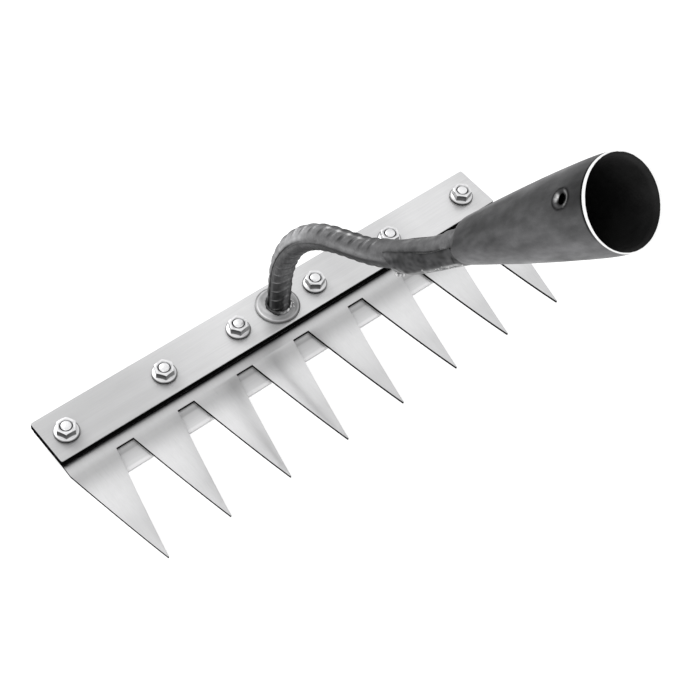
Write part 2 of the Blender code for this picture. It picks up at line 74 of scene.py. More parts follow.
class RakePlateSettings(bpy.types.PropertyGroup):
    """Shape and finish of the toothed blade and its backing strip."""

    tooth_count: IntProperty(name="Teeth", description="Number of teeth", default=8, min=2)
    root_width: FloatProperty(name="Notch root", description="Width of the flat root between two teeth",
                              default=0.011, unit="LENGTH")
    root_reach: FloatProperty(name="Root reach", description="Distance from the bar to the notch roots",
                              default=0.0066, unit="LENGTH")
    tip_reach: FloatProperty(name="Tip reach", description="Distance from the bar to the tooth tips",
                             default=0.0735, unit="LENGTH")
    tip_width: FloatProperty(name="Tip width", description="Width of a tooth at its tip",
                             default=0.0005, unit="LENGTH")
    blade_thickness: FloatProperty(name="Blade thickness", description="Sheet thickness of the blade",
                                   default=0.0018, unit="LENGTH")
    blade_underside: FloatProperty(name="Blade underside", description="Height of the flat blade's underside",
                                   default=0.0058, unit="LENGTH")
    strip_reach: FloatProperty(name="Strip reach", description="How far the strip stands out under the blade",
                               default=0.0203, unit="LENGTH")
    strip_thickness: FloatProperty(name="Strip thickness", description="Thickness of the backing strip",
                                   default=0.0016, unit="LENGTH")
    drop_exponent: FloatProperty(name="Bend", description="How soon the blade bends down in front of the bar",
                                 default=1.6)
    edge_round: FloatProperty(name="Edge round", description="Rounding of the sheet's long edges",
                              default=0.00012, unit="LENGTH")
    tone: FloatVectorProperty(name="Steel tone", description="Colour of the bright steel", subtype="COLOR",
                              default=(0.700, 0.700, 0.705), min=0.0, max=1.0)


class RakeFastenerSettings(bpy.types.PropertyGroup):
    """Sizes and colour of the nuts and bolts."""

    flats: FloatProperty(name="Across flats", description="Width of the hexagons across their flats",
                         default=0.010, unit="LENGTH")
    nut_height: FloatProperty(name="Nut height", description="Height of a nut with its flange",
                              default=0.006, unit="LENGTH")
    head_height: FloatProperty(name="Head height", description="Height of a bolt's head",
                               default=0.0036, unit="LENGTH")
    bolt_radius: FloatProperty(name="Bolt radius", description="Radius of a bolt's shank",
                               default=0.003, unit="LENGTH")
    flange_radius: FloatProperty(name="Flange radius", description="Radius of a nut's flange",
                                 default=0.0071, unit="LENGTH")
    tone: FloatVectorProperty(name="Zinc tone", description="Colour of the plated faces", subtype="COLOR",
                              default=(0.86, 0.86, 0.87), min=0.0, max=1.0)


class RakeNeckSettings(bpy.types.PropertyGroup):
    """Path, ribs and finish of the neck."""

    rise: FloatProperty(name="Rise", description="Upright stretch above the bar", default=0.0255,
                        unit="LENGTH")
    bend_radius: FloatProperty(name="First bend", description="Radius of the bend over the teeth",
                               default=0.0835, unit="LENGTH")
    bend_angle: FloatProperty(name="First angle", description="Angle of the bend over the teeth",
                              default=math.radians(58.5), subtype="ANGLE")
    run: FloatProperty(name="Run", description="Straight stretch between the bends", default=0.020,
                       unit="LENGTH")
    back_radius: FloatProperty(name="Second bend", description="Radius of the bend back up",
                               default=0.150, unit="LENGTH")
    back_angle: FloatProperty(name="Second angle", description="Angle of the bend back up",
                              default=math.radians(21.5), subtype="ANGLE")
    tail: FloatProperty(name="Tail", description="Straight stretch into the socket", default=0.050,
                        unit="LENGTH")
    core_radius: FloatProperty(name="Core radius", description="Radius of the rod between its ribs",
                               default=0.0064, unit="LENGTH")
    rib_height: FloatProperty(name="Rib height", description="How far the ribs stand out",
                              default=0.0006, unit="LENGTH")
    rib_pitch: FloatProperty(name="Rib pitch", description="Distance from rib to rib", default=0.0089,
                             unit="LENGTH")
    inner_pitch: FloatProperty(name="Inner pitch", default=0.0080, unit="LENGTH",
                               description="Distance from rib to rib on the side of the teeth")
    rib_width: FloatProperty(name="Rib width", description="Half the width of a rib", default=0.0013,
                             unit="LENGTH")
    rib_slant: FloatProperty(name="Rib slant", default=0.0060, unit="LENGTH",
                             description="How far a rib runs along the rod from its middle to its end")
    tone: FloatVectorProperty(name="Scale tone", description="Colour of the rod's scale", subtype="COLOR",
                              default=(0.118, 0.118, 0.120), min=0.0, max=1.0)


class RakeSocketSettings(bpy.types.PropertyGroup):
    """Shape and finish of the socket and its tongue."""

    insert: FloatProperty(name="Insert", description="How far the neck reaches into the socket",
                          default=0.0105, unit="LENGTH")
    length: FloatProperty(name="Length", description="Length of the closed socket", default=0.1136,
                          unit="LENGTH")
    wall: FloatProperty(name="Wall", description="Sheet thickness", default=0.0019, unit="LENGTH")
    mouth_radius: FloatProperty(name="Mouth radius", description="Outer radius at the mouth",
                                default=0.0201, unit="LENGTH")
    small_radius: FloatProperty(name="Small radius", description="Outer radius at the small end",
                                default=0.0104, unit="LENGTH")
    bell: FloatProperty(name="Bell", description="How soon the socket widens", default=1.3)
    lip: FloatProperty(name="Lip", description="Straight stretch at the mouth", default=0.006, unit="LENGTH")
    tongue: FloatProperty(name="Tongue", description="Length of the tongue under the neck",
                          default=0.061, unit="LENGTH")
    tongue_start: IntProperty(name="Tongue start", default=5, min=0,
                              description="How many of the socket's columns the tongue's edges lie past the "
                                          "middle of the rod at the socket")
    tongue_wrap: FloatProperty(name="Tongue wrap", default=math.radians(40), subtype="ANGLE",
                               description="How far the tongue's edges wrap past the middle of the rod at "
                                           "its free end")
    columns: IntProperty(name="Columns", description="Faces round the socket", default=160, min=32)
    tongue_lean: FloatProperty(name="Tongue lean", default=0.004, unit="LENGTH",
                               description="How much further the tongue's edges reach than its middle")
    ground: FloatProperty(name="Ground edge", default=0.0013, unit="LENGTH",
                          description="How much thinner the rim is where the mouth is wide")
    oval: FloatProperty(name="Oval", default=0.048, min=0.0, max=0.2,
                        description="How much narrower the mouth is than it is wide, as a share")
    oval_angle: FloatProperty(name="Oval angle", description="Where the mouth's narrow way lies",
                              default=math.radians(-29), subtype="ANGLE")
    hole_radius: FloatProperty(name="Hole radius", description="Radius of the screw hole",
                               default=0.0021, unit="LENGTH")
    hole_place: FloatProperty(name="Hole place", description="Distance from the mouth to the screw hole",
                              default=0.0144, unit="LENGTH")
    hole_angle: FloatProperty(name="Hole angle", description="Where the screw hole lies round the socket",
                              default=math.radians(143), subtype="ANGLE")
    tone: FloatVectorProperty(name="Scale tone", description="Colour of the dark mill scale", subtype="COLOR",
                              default=(0.099, 0.099, 0.101), min=0.0, max=1.0)


class RakeStageSettings(bpy.types.PropertyGroup):
    """Camera, lamps and floor."""

    target: FloatVectorProperty(name="Target", description="Point on the camera's axis", subtype="XYZ",
                                unit="LENGTH", default=(0.017610, 0.051770, 0.003653))
    distance: FloatProperty(name="Distance", description="From the camera to the target", default=0.8885,
                            unit="LENGTH")
    azimuth: FloatProperty(name="Azimuth", description="Camera's turn round the object",
                           default=math.radians(-46.5627), subtype="ANGLE")
    elevation: FloatProperty(name="Elevation", description="Camera's height above the horizon",
                             default=math.radians(53.874), subtype="ANGLE")
    roll: FloatProperty(name="Roll", description="Camera's turn about its own axis",
                        default=math.radians(8.3528), subtype="ANGLE")
    lens: FloatProperty(name="Lens", description="Focal length in millimetres", default=80.90)
    key_power: FloatProperty(name="Key power", description="Power of the large lamp", default=9.0)
    fill_power: FloatProperty(name="Fill power", description="Power of the small lamp", default=2.0)
    world_level: FloatProperty(name="World level", description="Strength of the even light", default=0.55)


def settings():
    """The values of every group, as the sidebar shows them."""
    return bpy.context.scene.rake


class RakeSettings(bpy.types.PropertyGroup):
    """All the groups of values."""

    plates: PointerProperty(type=RakePlateSettings)
    fasteners: PointerProperty(type=RakeFastenerSettings)
    neck: PointerProperty(type=RakeNeckSettings)
    socket: PointerProperty(type=RakeSocketSettings)
    stage: PointerProperty(type=RakeStageSettings)


# Node helpers

def node(tree, kind, **values):
    """Adds a node and sets its properties."""
    made = tree.nodes.new(kind)
    for key, value in values.items():
        setattr(made, key, value)
    return made


def feed(tree, value, target):
    """Links a socket to an input, or sets the input to a number, a vector or a colour."""
    if isinstance(value, bpy.types.NodeSocket):
        tree.links.new(value, target)
    else:
        target.default_value = value


def math_node(tree, operation, first, second=None, clamp=False):
    """Math on sockets or numbers."""
    made = node(tree, "ShaderNodeMath", operation=operation, use_clamp=clamp)
    feed(tree, first, made.inputs[0])
    if second is not None:
        feed(tree, second, made.inputs[1])
    return made.outputs[0]


def times(tree, first, *others):
    """Product of sockets and numbers."""
    for other in others:
        first = math_node(tree, "MULTIPLY", first, other)
    return first


def vector_node(tree, operation, first, second):
    """Vector math on a vector socket and another vector."""
    made = node(tree, "ShaderNodeVectorMath", operation=operation)
    feed(tree, first, made.inputs[0])
    feed(tree, second, made.inputs[1])
    return made.outputs["Value" if operation == "DOT_PRODUCT" else "Vector"]


def range_node(tree, value, low, high, to_low=0.0, to_high=1.0, smooth=False):
    """Maps a value from one range to another and clamps it."""
    made = node(tree, "ShaderNodeMapRange", interpolation_type="SMOOTHSTEP" if smooth else "LINEAR")
    for label, given in (("Value", value), ("From Min", low), ("From Max", high), ("To Min", to_low),
                         ("To Max", to_high)):
        feed(tree, given, made.inputs[label])
    return made.outputs["Result"]


def mix_node(tree, kind, share, first, second, **values):
    """Mixes two values of a kind, Color or Float."""
    made = node(tree, "ShaderNodeMix", data_type="RGBA" if kind == "Color" else "FLOAT", **values)
    inputs = {item.identifier: item for item in made.inputs}
    for label, value in (("Factor_Float", share), (f"A_{kind}", first), (f"B_{kind}", second)):
        feed(tree, value, inputs[label])
    return next(item for item in made.outputs if item.identifier == f"Result_{kind}")


def mix_colours(tree, share, first, second, blend="MIX"):
    """Mixes two colours, each a socket or a colour."""
    first, second = (value if isinstance(value, bpy.types.NodeSocket) else (*value[:3], 1.0)
                     for value in (first, second))
    return mix_node(tree, "Color", share, first, second, blend_type=blend)


def ramp_node(tree, value, stops):
    """Grey ramp through (place, level) stops."""
    made = node(tree, "ShaderNodeValToRGB")
    elements = made.color_ramp.elements
    while len(elements) < len(stops):
        elements.new(0.5)
    for element, (place, level) in zip(elements, stops):
        element.position = place
        element.color = (level, level, level, 1.0)
    feed(tree, value, made.inputs["Fac"])
    return made.outputs["Color"]


def noise_node(tree, vector, scale, detail=2.0, roughness=0.5):
    """Noise between 0 and 1."""
    made = node(tree, "ShaderNodeTexNoise")
    for label, value in (("Vector", vector), ("Scale", scale), ("Detail", detail), ("Roughness", roughness)):
        feed(tree, value, made.inputs[label])
    return made.outputs["Fac"]


def attribute_node(tree, name):
    """The value that a piece's corners hold under a name."""
    return node(tree, "ShaderNodeAttribute", attribute_name=name).outputs["Fac"]


def axis_node(tree, vector, axis):
    """One axis of a vector socket."""
    split = node(tree, "ShaderNodeSeparateXYZ")
    feed(tree, vector, split.inputs[0])
    return split.outputs[axis]


def normal_node(tree):
    """The surface's normal."""
    return node(tree, "ShaderNodeNewGeometry").outputs["Normal"]


def seen_node(tree):
    """1 for camera, glossy and transmitted rays, and 0 for the light that falls on the object."""
    path = node(tree, "ShaderNodeLightPath")
    seen = math_node(tree, "MAXIMUM", path.outputs["Is Camera Ray"], path.outputs["Is Glossy Ray"])
    return math_node(tree, "MAXIMUM", seen, path.outputs["Is Transmission Ray"])


# Shared node groups

# How fine the grain of brushed steel is along X, Y and Z
GRAIN_ALONG_X = (55.0, 2400.0, 2400.0)
GRAIN_ALONG_Y = (2400.0, 55.0, 2400.0)


def new_group(name, inputs, outputs):
    """An empty shader node group with named sockets, given as (name, type, default) and (name, type)."""
    tree = bpy.data.node_groups.new(name, "ShaderNodeTree")
    for label, kind, default in inputs:
        socket = tree.interface.new_socket(label, in_out="INPUT", socket_type=kind)
        if default is not None:
            socket.default_value = default
    for label, kind in outputs:
        tree.interface.new_socket(label, in_out="OUTPUT", socket_type=kind)
    return tree, tree.nodes.new("NodeGroupInput"), tree.nodes.new("NodeGroupOutput")


def brushed_group():
    """Fine lines along one direction, broad streaks along it and a few deeper scratches."""
    tree, start, end = new_group(
        "Brushed grain",
        [("Vector", "NodeSocketVector", None), ("Stretch", "NodeSocketVector", GRAIN_ALONG_X)],
        [("Lines", "NodeSocketFloat"), ("Streaks", "NodeSocketFloat"), ("Scratches", "NodeSocketFloat")])
    vector = vector_node(tree, "MULTIPLY", start.outputs["Vector"], start.outputs["Stretch"])
    feed(tree, noise_node(tree, vector, 1.0, 3.0, 0.6), end.inputs["Lines"])
    feed(tree, noise_node(tree, vector, 0.12, 3.0, 0.55), end.inputs["Streaks"])
    scratch = noise_node(tree, vector, 0.42, 1.0, 0.4)
    feed(tree, range_node(tree, scratch, 0.66, 0.74), end.inputs["Scratches"])
    return tree


def mottling_group():
    """Cloudy patches, small pits and fine grit of scale on hot-rolled steel."""
    tree, start, end = new_group(
        "Scale mottling",
        [("Vector", "NodeSocketVector", None), ("Patch", "NodeSocketFloat", 90.0)],
        [("Patches", "NodeSocketFloat"), ("Pits", "NodeSocketFloat"), ("Grit", "NodeSocketFloat")])
    scaled = node(tree, "ShaderNodeVectorMath", operation="SCALE")
    feed(tree, start.outputs["Vector"], scaled.inputs[0])
    feed(tree, start.outputs["Patch"], scaled.inputs["Scale"])
    vector = scaled.outputs["Vector"]
    patches = noise_node(tree, vector, 1.0, 5.0, 0.62)
    feed(tree, range_node(tree, patches, 0.30, 0.72, smooth=True), end.inputs["Patches"])
    pits = node(tree, "ShaderNodeTexVoronoi", feature="F1")
    feed(tree, vector, pits.inputs["Vector"])
    feed(tree, 9.0, pits.inputs["Scale"])
    feed(tree, range_node(tree, pits.outputs["Distance"], 0.05, 0.34), end.inputs["Pits"])
    feed(tree, noise_node(tree, vector, 26.0, 3.0, 0.7), end.inputs["Grit"])
    return tree


def edge_group():
    """Mask of the faces that stand upright, such as cut edges and the sides of a hexagon."""
    tree, start, end = new_group(
        "Upright faces", [("Low", "NodeSocketFloat", 0.30), ("High", "NodeSocketFloat", 0.62)],
        [("Mask", "NodeSocketFloat")])
    flatness = math_node(tree, "ABSOLUTE", axis_node(tree, normal_node(tree), "Z"))
    mask = range_node(tree, flatness, start.outputs["Low"], start.outputs["High"], 1.0, 0.0)
    feed(tree, mask, end.inputs["Mask"])
    return tree


def smudge_group():
    """Soft hand marks and dust."""
    tree, start, end = new_group("Smudges", [("Vector", "NodeSocketVector", None)],
                                 [("Marks", "NodeSocketFloat")])
    marks = noise_node(tree, start.outputs["Vector"], 34.0)
    feed(tree, range_node(tree, marks, 0.38, 0.68, smooth=True), end.inputs["Marks"])
    return tree


GROUPS = {"Brushed grain": brushed_group, "Scale mottling": mottling_group, "Upright faces": edge_group,
          "Smudges": smudge_group}


def place_group(tree, name, vector=None, **values):
    """Places a shared group in a material, builds it at its first use, and sets its inputs."""
    made = node(tree, "ShaderNodeGroup")
    made.node_tree = bpy.data.node_groups.get(name) or GROUPS[name]()
    if vector is not None:
        values["Vector"] = vector
    for label, value in values.items():
        feed(tree, value, made.inputs[label])
    return made.outputs


# Finishes

# Near black painted on upright cut faces as their shade
EDGE_BLACK = (0.003, 0.003, 0.003)
WHITE = (1.0, 1.0, 1.0)

# Directions of painted shade: towards the camera, where the hexagons are painted darkest, and square to that,
# where the mouths of the nuts are painted darkest
DARK_SIDE = (-0.726, -0.688, 0.0)
DARK_ACROSS = (-0.6875, 0.726)

# Painted light and reflections along the bar, from its left end to its right end
BAR_STOPS = (
    (0.0, 0.73), (0.11, 0.73), (0.16, 0.745), (0.21, 0.81), (0.26, 0.885), (0.31, 0.925), (0.355, 0.99),
    (0.40, 1.06), (0.50, 1.03), (0.55, 1.01), (0.60, 0.95), (0.645, 0.89), (0.71, 0.93), (0.79, 0.98),
    (0.84, 1.07), (0.935, 1.07), (1.0, 0.98))

# Brightness of the blade, from the bar to the tooth tips: painted shadow under the bar, a painted bright
# band, painted shade at the bend, painted light on the teeth and duller tips
BLADE_STOPS = (
    (0.0, 0.03), (0.004, 0.16), (0.0136, 0.44), (0.027, 0.68), (0.041, 0.80), (0.054, 0.86), (0.07, 0.86),
    (0.095, 0.78), (0.122, 0.70), (0.163, 0.69), (0.19, 0.75), (0.218, 0.83), (0.272, 0.98), (0.32, 1.06),
    (0.42, 1.09), (0.55, 1.03), (0.68, 0.93), (0.85, 0.93), (1.0, 0.86))

# Brightness of the strip, from the bar to its front edge: painted shade under the blade, a painted bright
# band and a painted shadow at the notch roots, then ever brighter painted light
STRIP_STOPS = (
    (0.0, 0.6), (0.325, 0.62), (0.345, 1.01), (0.394, 0.90), (0.443, 0.76), (0.493, 0.68), (0.542, 0.90),
    (0.59, 0.96), (0.69, 1.02), (0.739, 1.05), (0.837, 1.16), (0.880, 1.18), (0.91, 1.30), (0.935, 1.42),
    (0.985, 1.42))

# The blade's dark corner starts this far in front of the bar's middle, and less far at the bar's ends
SHADOW_START = 0.0006
SHADOW_BOW = 0.0007


def start_material(name, metallic=1.0, roughness=0.4):
    """A new material with its tree, its Principled shader and its Object coordinates."""
    material = bpy.data.materials.new(name)
    material.use_nodes = True
    tree = material.node_tree
    shader = tree.nodes["Principled BSDF"]
    shader.inputs["Metallic"].default_value = metallic
    shader.inputs["Roughness"].default_value = roughness
    place = node(tree, "ShaderNodeTexCoord").outputs["Object"]
    return material, tree, shader, place


def add_bump(tree, shader, height, distance, strength):
    """Gives a shader the normal of a height."""
    bump = node(tree, "ShaderNodeBump")
    for label, value in (("Strength", strength), ("Distance", distance), ("Height", height)):
        feed(tree, value, bump.inputs[label])
    feed(tree, bump.outputs["Normal"], shader.inputs["Normal"])


def plate_material(name, tone, stretch, shade, edge_colour=EDGE_BLACK, metal=1.0):
    """Brushed sheet: its tone times a painted light and shade over the surface, fine grain, smudges, and matt
    cut edges painted in the edge colour, which is painted shade on the bar and blade and painted highlight on
    the strip.
    """
    material, tree, shader, place = start_material(name)
    grain = place_group(tree, "Brushed grain", place, Stretch=stretch)
    marks = place_group(tree, "Smudges", place)["Marks"]
    lines = range_node(tree, grain["Lines"], 0.25, 0.75, 0.95, 1.035)
    streaks = range_node(tree, grain["Streaks"], 0.3, 0.7, 0.98, 1.02)
    clean = range_node(tree, marks, 0, 1, 0.985, 1.0)
    level = times(tree, lines, streaks, shade(tree, place), clean)
    level = math_node(tree, "SUBTRACT", level, times(tree, grain["Scratches"], 0.03))
    face = mix_colours(tree, 1.0, tone, level, "MULTIPLY")
    edge = place_group(tree, "Upright faces")["Mask"]
    feed(tree, mix_colours(tree, edge, face, edge_colour), shader.inputs["Base Color"])
    feed(tree, range_node(tree, edge, 0.0, 1.0, metal, 0.0), shader.inputs["Metallic"])
    shader.inputs["Specular IOR Level"].default_value = 0.0
    rough = range_node(tree, grain["Streaks"], 0.3, 0.7, 0.30, 0.40)
    rough = math_node(tree, "ADD", rough, times(tree, marks, 0.05))
    feed(tree, mix_node(tree, "Float", edge, rough, 0.6), shader.inputs["Roughness"])
    add_bump(tree, shader, grain["Lines"], 0.00001, 0.5)
    return material


def reach_node(tree, place):
    """Distance in front of the bar."""
    return math_node(tree, "SUBTRACT", BAR_FRONT, axis_node(tree, place, "Y"))


def bar_shade(tree, place):
    """Broad painted reflections along the bar, duller towards its left end."""
    share = range_node(tree, axis_node(tree, place, "X"), BAR_LOW.x, BAR_HIGH.x)
    return ramp_node(tree, share, BAR_STOPS)


def blade_shade(tree, place):
    """The blade's painted light and shade from the bar to the tips, faintly clouded."""
    sideways = times(tree, axis_node(tree, place, "X"), 1 / BAR_HIGH.x)
    bowed = times(tree, sideways, sideways, SHADOW_BOW)
    reach = math_node(tree, "ADD", math_node(tree, "SUBTRACT", reach_node(tree, place), SHADOW_START), bowed)
    share = math_node(tree, "DIVIDE", reach, settings().plates.tip_reach, clamp=True)
    cloud = noise_node(tree, vector_node(tree, "MULTIPLY", place, (24.0, 9.0, 1.0)), 1.0)
    return times(tree, ramp_node(tree, share, BLADE_STOPS), range_node(tree, cloud, 0.3, 0.7, 0.985, 1.02))


def strip_shade(tree, place):
    """Painted shadow and light on the strip, from the bar to its front edge."""
    share = math_node(tree, "DIVIDE", reach_node(tree, place), settings().plates.strip_reach, clamp=True)
    return ramp_node(tree, share, STRIP_STOPS)


def zinc_material(name, tone):
    """Bright plating with small dull spots; upright sides painted dark as shade, darkest on those turned to
    the teeth, and the piece's level of painted shade on top.
    """
    material, tree, shader, place = start_material(name)
    mottling = place_group(tree, "Scale mottling", place, Patch=420.0)
    face = mix_colours(tree, mottling["Patches"], [0.84 * part for part in tone], tone)
    # Upright sides painted dark as shade, near black where they face the camera
    facing = vector_node(tree, "DOT_PRODUCT", normal_node(tree), DARK_SIDE)
    turned = range_node(tree, facing, 0.97, 0.5, smooth=True)
    side = mix_colours(tree, turned, (0.008, 0.008, 0.008), (0.27, 0.27, 0.27))
    edge = place_group(tree, "Upright faces", Low=0.10, High=0.36)["Mask"]
    colour = mix_colours(tree, edge, face, side)
    colour = mix_colours(tree, 1.0, colour, attribute_node(tree, "level"), "MULTIPLY")
    feed(tree, colour, shader.inputs["Base Color"])
    feed(tree, range_node(tree, mottling["Grit"], 0.3, 0.7, 0.30, 0.42), shader.inputs["Roughness"])
    add_bump(tree, shader, mottling["Grit"], 0.00002, 0.4)
    return material


def scale_material(name, tone, patch=110.0, contrast=0.16, lean=0.0, stretch=1.0):
    """Hot-rolled scale, clouded and pitted, lighter or darker by the piece's level, which holds painted light
    and shade.

    It is lightened by the painted highlights and rubbed spots that the piece holds. The clouds are stretched
    along Z, leaned over about X.
    """
    material, tree, shader, place = start_material(name, metallic=0.85)
    shader.inputs["Specular Tint"].default_value = (0.55, 0.55, 0.55, 1.0)
    shader.inputs["Specular IOR Level"].default_value = 0.0
    follow = node(tree, "ShaderNodeMapping", vector_type="TEXTURE")
    for label, value in (("Vector", place), ("Rotation", (lean, 0.0, 0.0)), ("Scale", (1.0, 1.0, stretch))):
        feed(tree, value, follow.inputs[label])
    mottling = place_group(tree, "Scale mottling", follow.outputs["Vector"], Patch=patch)
    cloud = range_node(tree, mottling["Patches"], 0, 1, 1 - contrast, 1 + contrast)
    grit = range_node(tree, mottling["Grit"], 0.3, 0.7, 0.93, 1.07)
    level = times(tree, attribute_node(tree, "level"), times(tree, cloud, grit))
    feed(tree, range_node(tree, level, 0.03, 0.18, 0.0, 0.88), shader.inputs["Metallic"])
    body = mix_colours(tree, 1.0, tone, level, "MULTIPLY")
    # Pale grey blended in where the piece holds painted highlights and rubbed spots
    worn = range_node(tree, mottling["Patches"], 0, 1, 0.6, 1.0)
    bright_share = math_node(tree, "MULTIPLY", attribute_node(tree, "crest"), worn, clamp=True)
    feed(tree, mix_colours(tree, bright_share, body, (0.88, 0.88, 0.88)), shader.inputs["Base Color"])
    rough = range_node(tree, mottling["Patches"], 0, 1, 0.52, 0.42)
    feed(tree, mix_node(tree, "Float", bright_share, rough, 0.28), shader.inputs["Roughness"])
    height = math_node(tree, "ADD", times(tree, mottling["Pits"], 0.4), times(tree, mottling["Grit"], 0.6))
    add_bump(tree, shader, height, 0.00008, 0.45)
    return material


def black_material(name):
    """Inside of the socket, painted near black as its shade, and mottled."""
    material, tree, shader, place = start_material(name, metallic=0.5)
    mottling = place_group(tree, "Scale mottling", place, Patch=60.0)
    body = mix_colours(tree, mottling["Patches"], (0.040, 0.040, 0.040), (0.072, 0.072, 0.072))
    feed(tree, body, shader.inputs["Base Color"])
    feed(tree, range_node(tree, mottling["Grit"], 0.3, 0.7, 0.55, 0.75), shader.inputs["Roughness"])
    shader.inputs["Specular IOR Level"].default_value = 0.15
    add_bump(tree, shader, mottling["Grit"], 0.0001, 0.4)
    return material


def rim_material(name, mouth, along):
    """Ground edge: bright white at the socket's mouth with painted highlight, and painted dark as shade round
    the tongue.
    """
    material, tree, shader, place = start_material(name, roughness=0.35)
    mottling = place_group(tree, "Scale mottling", place, Patch=500.0)
    depth = math_node(tree, "SUBTRACT", mouth.dot(along), vector_node(tree, "DOT_PRODUCT", place, along))
    bright = mix_colours(tree, mottling["Patches"], (0.98, 0.98, 0.98), WHITE)
    # Bright white at the mouth is a ground edge with painted highlight; dark round the tongue is painted
    # shade
    colour = mix_colours(tree, range_node(tree, depth, 0.003, 0.006), bright, (0.02, 0.02, 0.02))
    feed(tree, colour, shader.inputs["Base Color"])
    feed(tree, range_node(tree, mottling["Grit"], 0.3, 0.7, 0.28, 0.5), shader.inputs["Roughness"])
    add_bump(tree, shader, mottling["Grit"], 0.00008, 0.5)
    return material


def washer_material(name, tone):
    """Rolled steel, clouded by the weld's temper colours, lighter or darker by the piece's level of painted
    light and shade, with upright faces painted dark as shade.
    """
    material, tree, shader, place = start_material(name)
    shader.inputs["Specular Tint"].default_value = (0.6, 0.6, 0.6, 1.0)
    mottling = place_group(tree, "Scale mottling", place, Patch=160.0)
    cloud = range_node(tree, mottling["Patches"], 0, 1, 0.88, 1.08)
    level = times(tree, attribute_node(tree, "level"), cloud)
    face = mix_colours(tree, 1.0, tone, level, "MULTIPLY")
    edge = place_group(tree, "Upright faces")["Mask"]
    # Upright faces painted dark as shade
    feed(tree, mix_colours(tree, edge, face, (0.12, 0.12, 0.12)), shader.inputs["Base Color"])
    feed(tree, range_node(tree, mottling["Patches"], 0, 1, 0.60, 0.50), shader.inputs["Roughness"])
    add_bump(tree, shader, mottling["Grit"], 0.00005, 0.5)
    return material


# Modelling helpers

def finish_piece(name, bm, material, nodes=(), smooth=35, keep_normals=False):
    """Makes a linked, riding piece of a bmesh that is already in its place.

    Edges sharper than smooth, in degrees, stay sharp.
    """
    if not keep_normals:
        bmesh.ops.recalc_face_normals(bm, faces=bm.faces)
    mesh = bpy.data.meshes.new(name)
    bm.to_mesh(mesh)
    bm.free()
    mesh.shade_smooth()
    mesh.set_sharp_from_angle(angle=math.radians(smooth))
    piece = bpy.data.objects.new(name, mesh)
    bpy.context.scene.collection.objects.link(piece)
    for finish in material if isinstance(material, (list, tuple)) else [material]:
        mesh.materials.append(finish)
    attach(piece, "root")
    if nodes:
        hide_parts(*nodes)
    return piece


def scratch_object(name, bm):
    """A short-lived object of a bmesh, linked so that modifiers can read it."""
    bmesh.ops.recalc_face_normals(bm, faces=bm.faces)
    mesh = bpy.data.meshes.new(name)
    bm.to_mesh(mesh)
    bm.free()
    obj = bpy.data.objects.new(name, mesh)
    bpy.context.scene.collection.objects.link(obj)
    return obj


def add_boolean(obj, cutter, operation="DIFFERENCE"):
    """An exact Boolean modifier."""
    modifier = obj.modifiers.new(cutter.name, "BOOLEAN")
    modifier.operation = operation
    modifier.solver = "EXACT"
    modifier.object = cutter


def evaluated(obj, *helpers):
    """Bmesh of an object with its modifiers applied; the object and its helpers are removed."""
    bpy.context.view_layer.update()
    evaluated = obj.evaluated_get(bpy.context.evaluated_depsgraph_get())
    mesh = bpy.data.meshes.new_from_object(evaluated)
    bm = bmesh.new()
    bm.from_mesh(mesh)
    bpy.data.meshes.remove(mesh)
    for item in (obj, *helpers):
        bpy.data.objects.remove(item, do_unlink=True)
    return bm


def merge_doubles(bm):
    """Merges corners that meet."""
    bmesh.ops.remove_doubles(bm, verts=bm.verts, dist=MERGE_DISTANCE)
    return bm


def in_fixed_order(bm):
    """Puts corners and faces in the order of their places, and drops the values on them.

    An exact Boolean returns them in another order each run, and a bevel depends on it.
    """
    corners = sorted(bm.verts, key=lambda vert: (
        tuple(vert.co), sorted(tuple(edge.other_vert(vert).co) for edge in vert.link_edges)))
    places = [vert.co.copy() for vert in corners]
    rank = {vert: number for number, vert in enumerate(corners)}
    rings = []
    for face in bm.faces:
        ring = [rank[vert] for vert in face.verts]
        first = ring.index(min(ring))
        rings.append(ring[first:] + ring[:first])
    bm.clear()
    corners = [bm.verts.new(place) for place in places]
    for ring in sorted(rings):
        bm.faces.new([corners[number] for number in ring])
    bm.normal_update()


def softened(obj, width, *helpers):
    """Bmesh of an object with its Booleans applied, and then a small bevel on every sharp edge."""
    bm = evaluated(obj, *helpers)
    in_fixed_order(bm)
    again = scratch_object("softened", bm)
    bevel = again.modifiers.new("soft_edges", "BEVEL")
    bevel.width = width
    bevel.segments = 2
    bevel.limit_method = "ANGLE"
    bevel.angle_limit = math.radians(28)
    return merge_doubles(evaluated(again))


def wrapped_grid(rows, columns, place, layers=()):
    """A grid whose points go where place(u, v) says, with u and v from 0 to 1.

    place also gives a value for each named layer. Edges that meet are merged.
    """
    bm = bmesh.new()
    bmesh.ops.create_grid(bm, x_segments=rows, y_segments=columns, size=0.5)
    marks = [bm.verts.layers.float.new(label) for label in layers]
    for vert in bm.verts:
        point, *values = place(vert.co.x + 0.5, vert.co.y + 0.5)
        vert.co = point
        for mark, value in zip(marks, values):
            vert[mark] = value
    return merge_doubles(bm)


def close_holes(bm):
    """Fills every open loop with a face."""
    open_edges = [edge for edge in bm.edges if edge.is_boundary]
    bmesh.ops.holes_fill(bm, edges=open_edges, sides=0)


def bell(value, middle, width):
    """Bell curve: 1 at its middle, about a third at its width."""
    return math.exp(-((value - middle) / width) ** 2)


def rise(value, low, high):
    """Smooth rise from 0 at low to 1 at high."""
    share = min(max((value - low) / (high - low), 0.0), 1.0)
    return share * share * (3 - 2 * share)


def between(value, start, full, fade, end):
    """1 from full to fade, falling smoothly to 0 at start and at end."""
    return rise(value, start, full) * (1 - rise(value, fade, end))


def ring_point(angle, height=0.0, radius=1.0):
    """Point on a circle about Z."""
    return Vector((radius * math.cos(angle), radius * math.sin(angle), height))


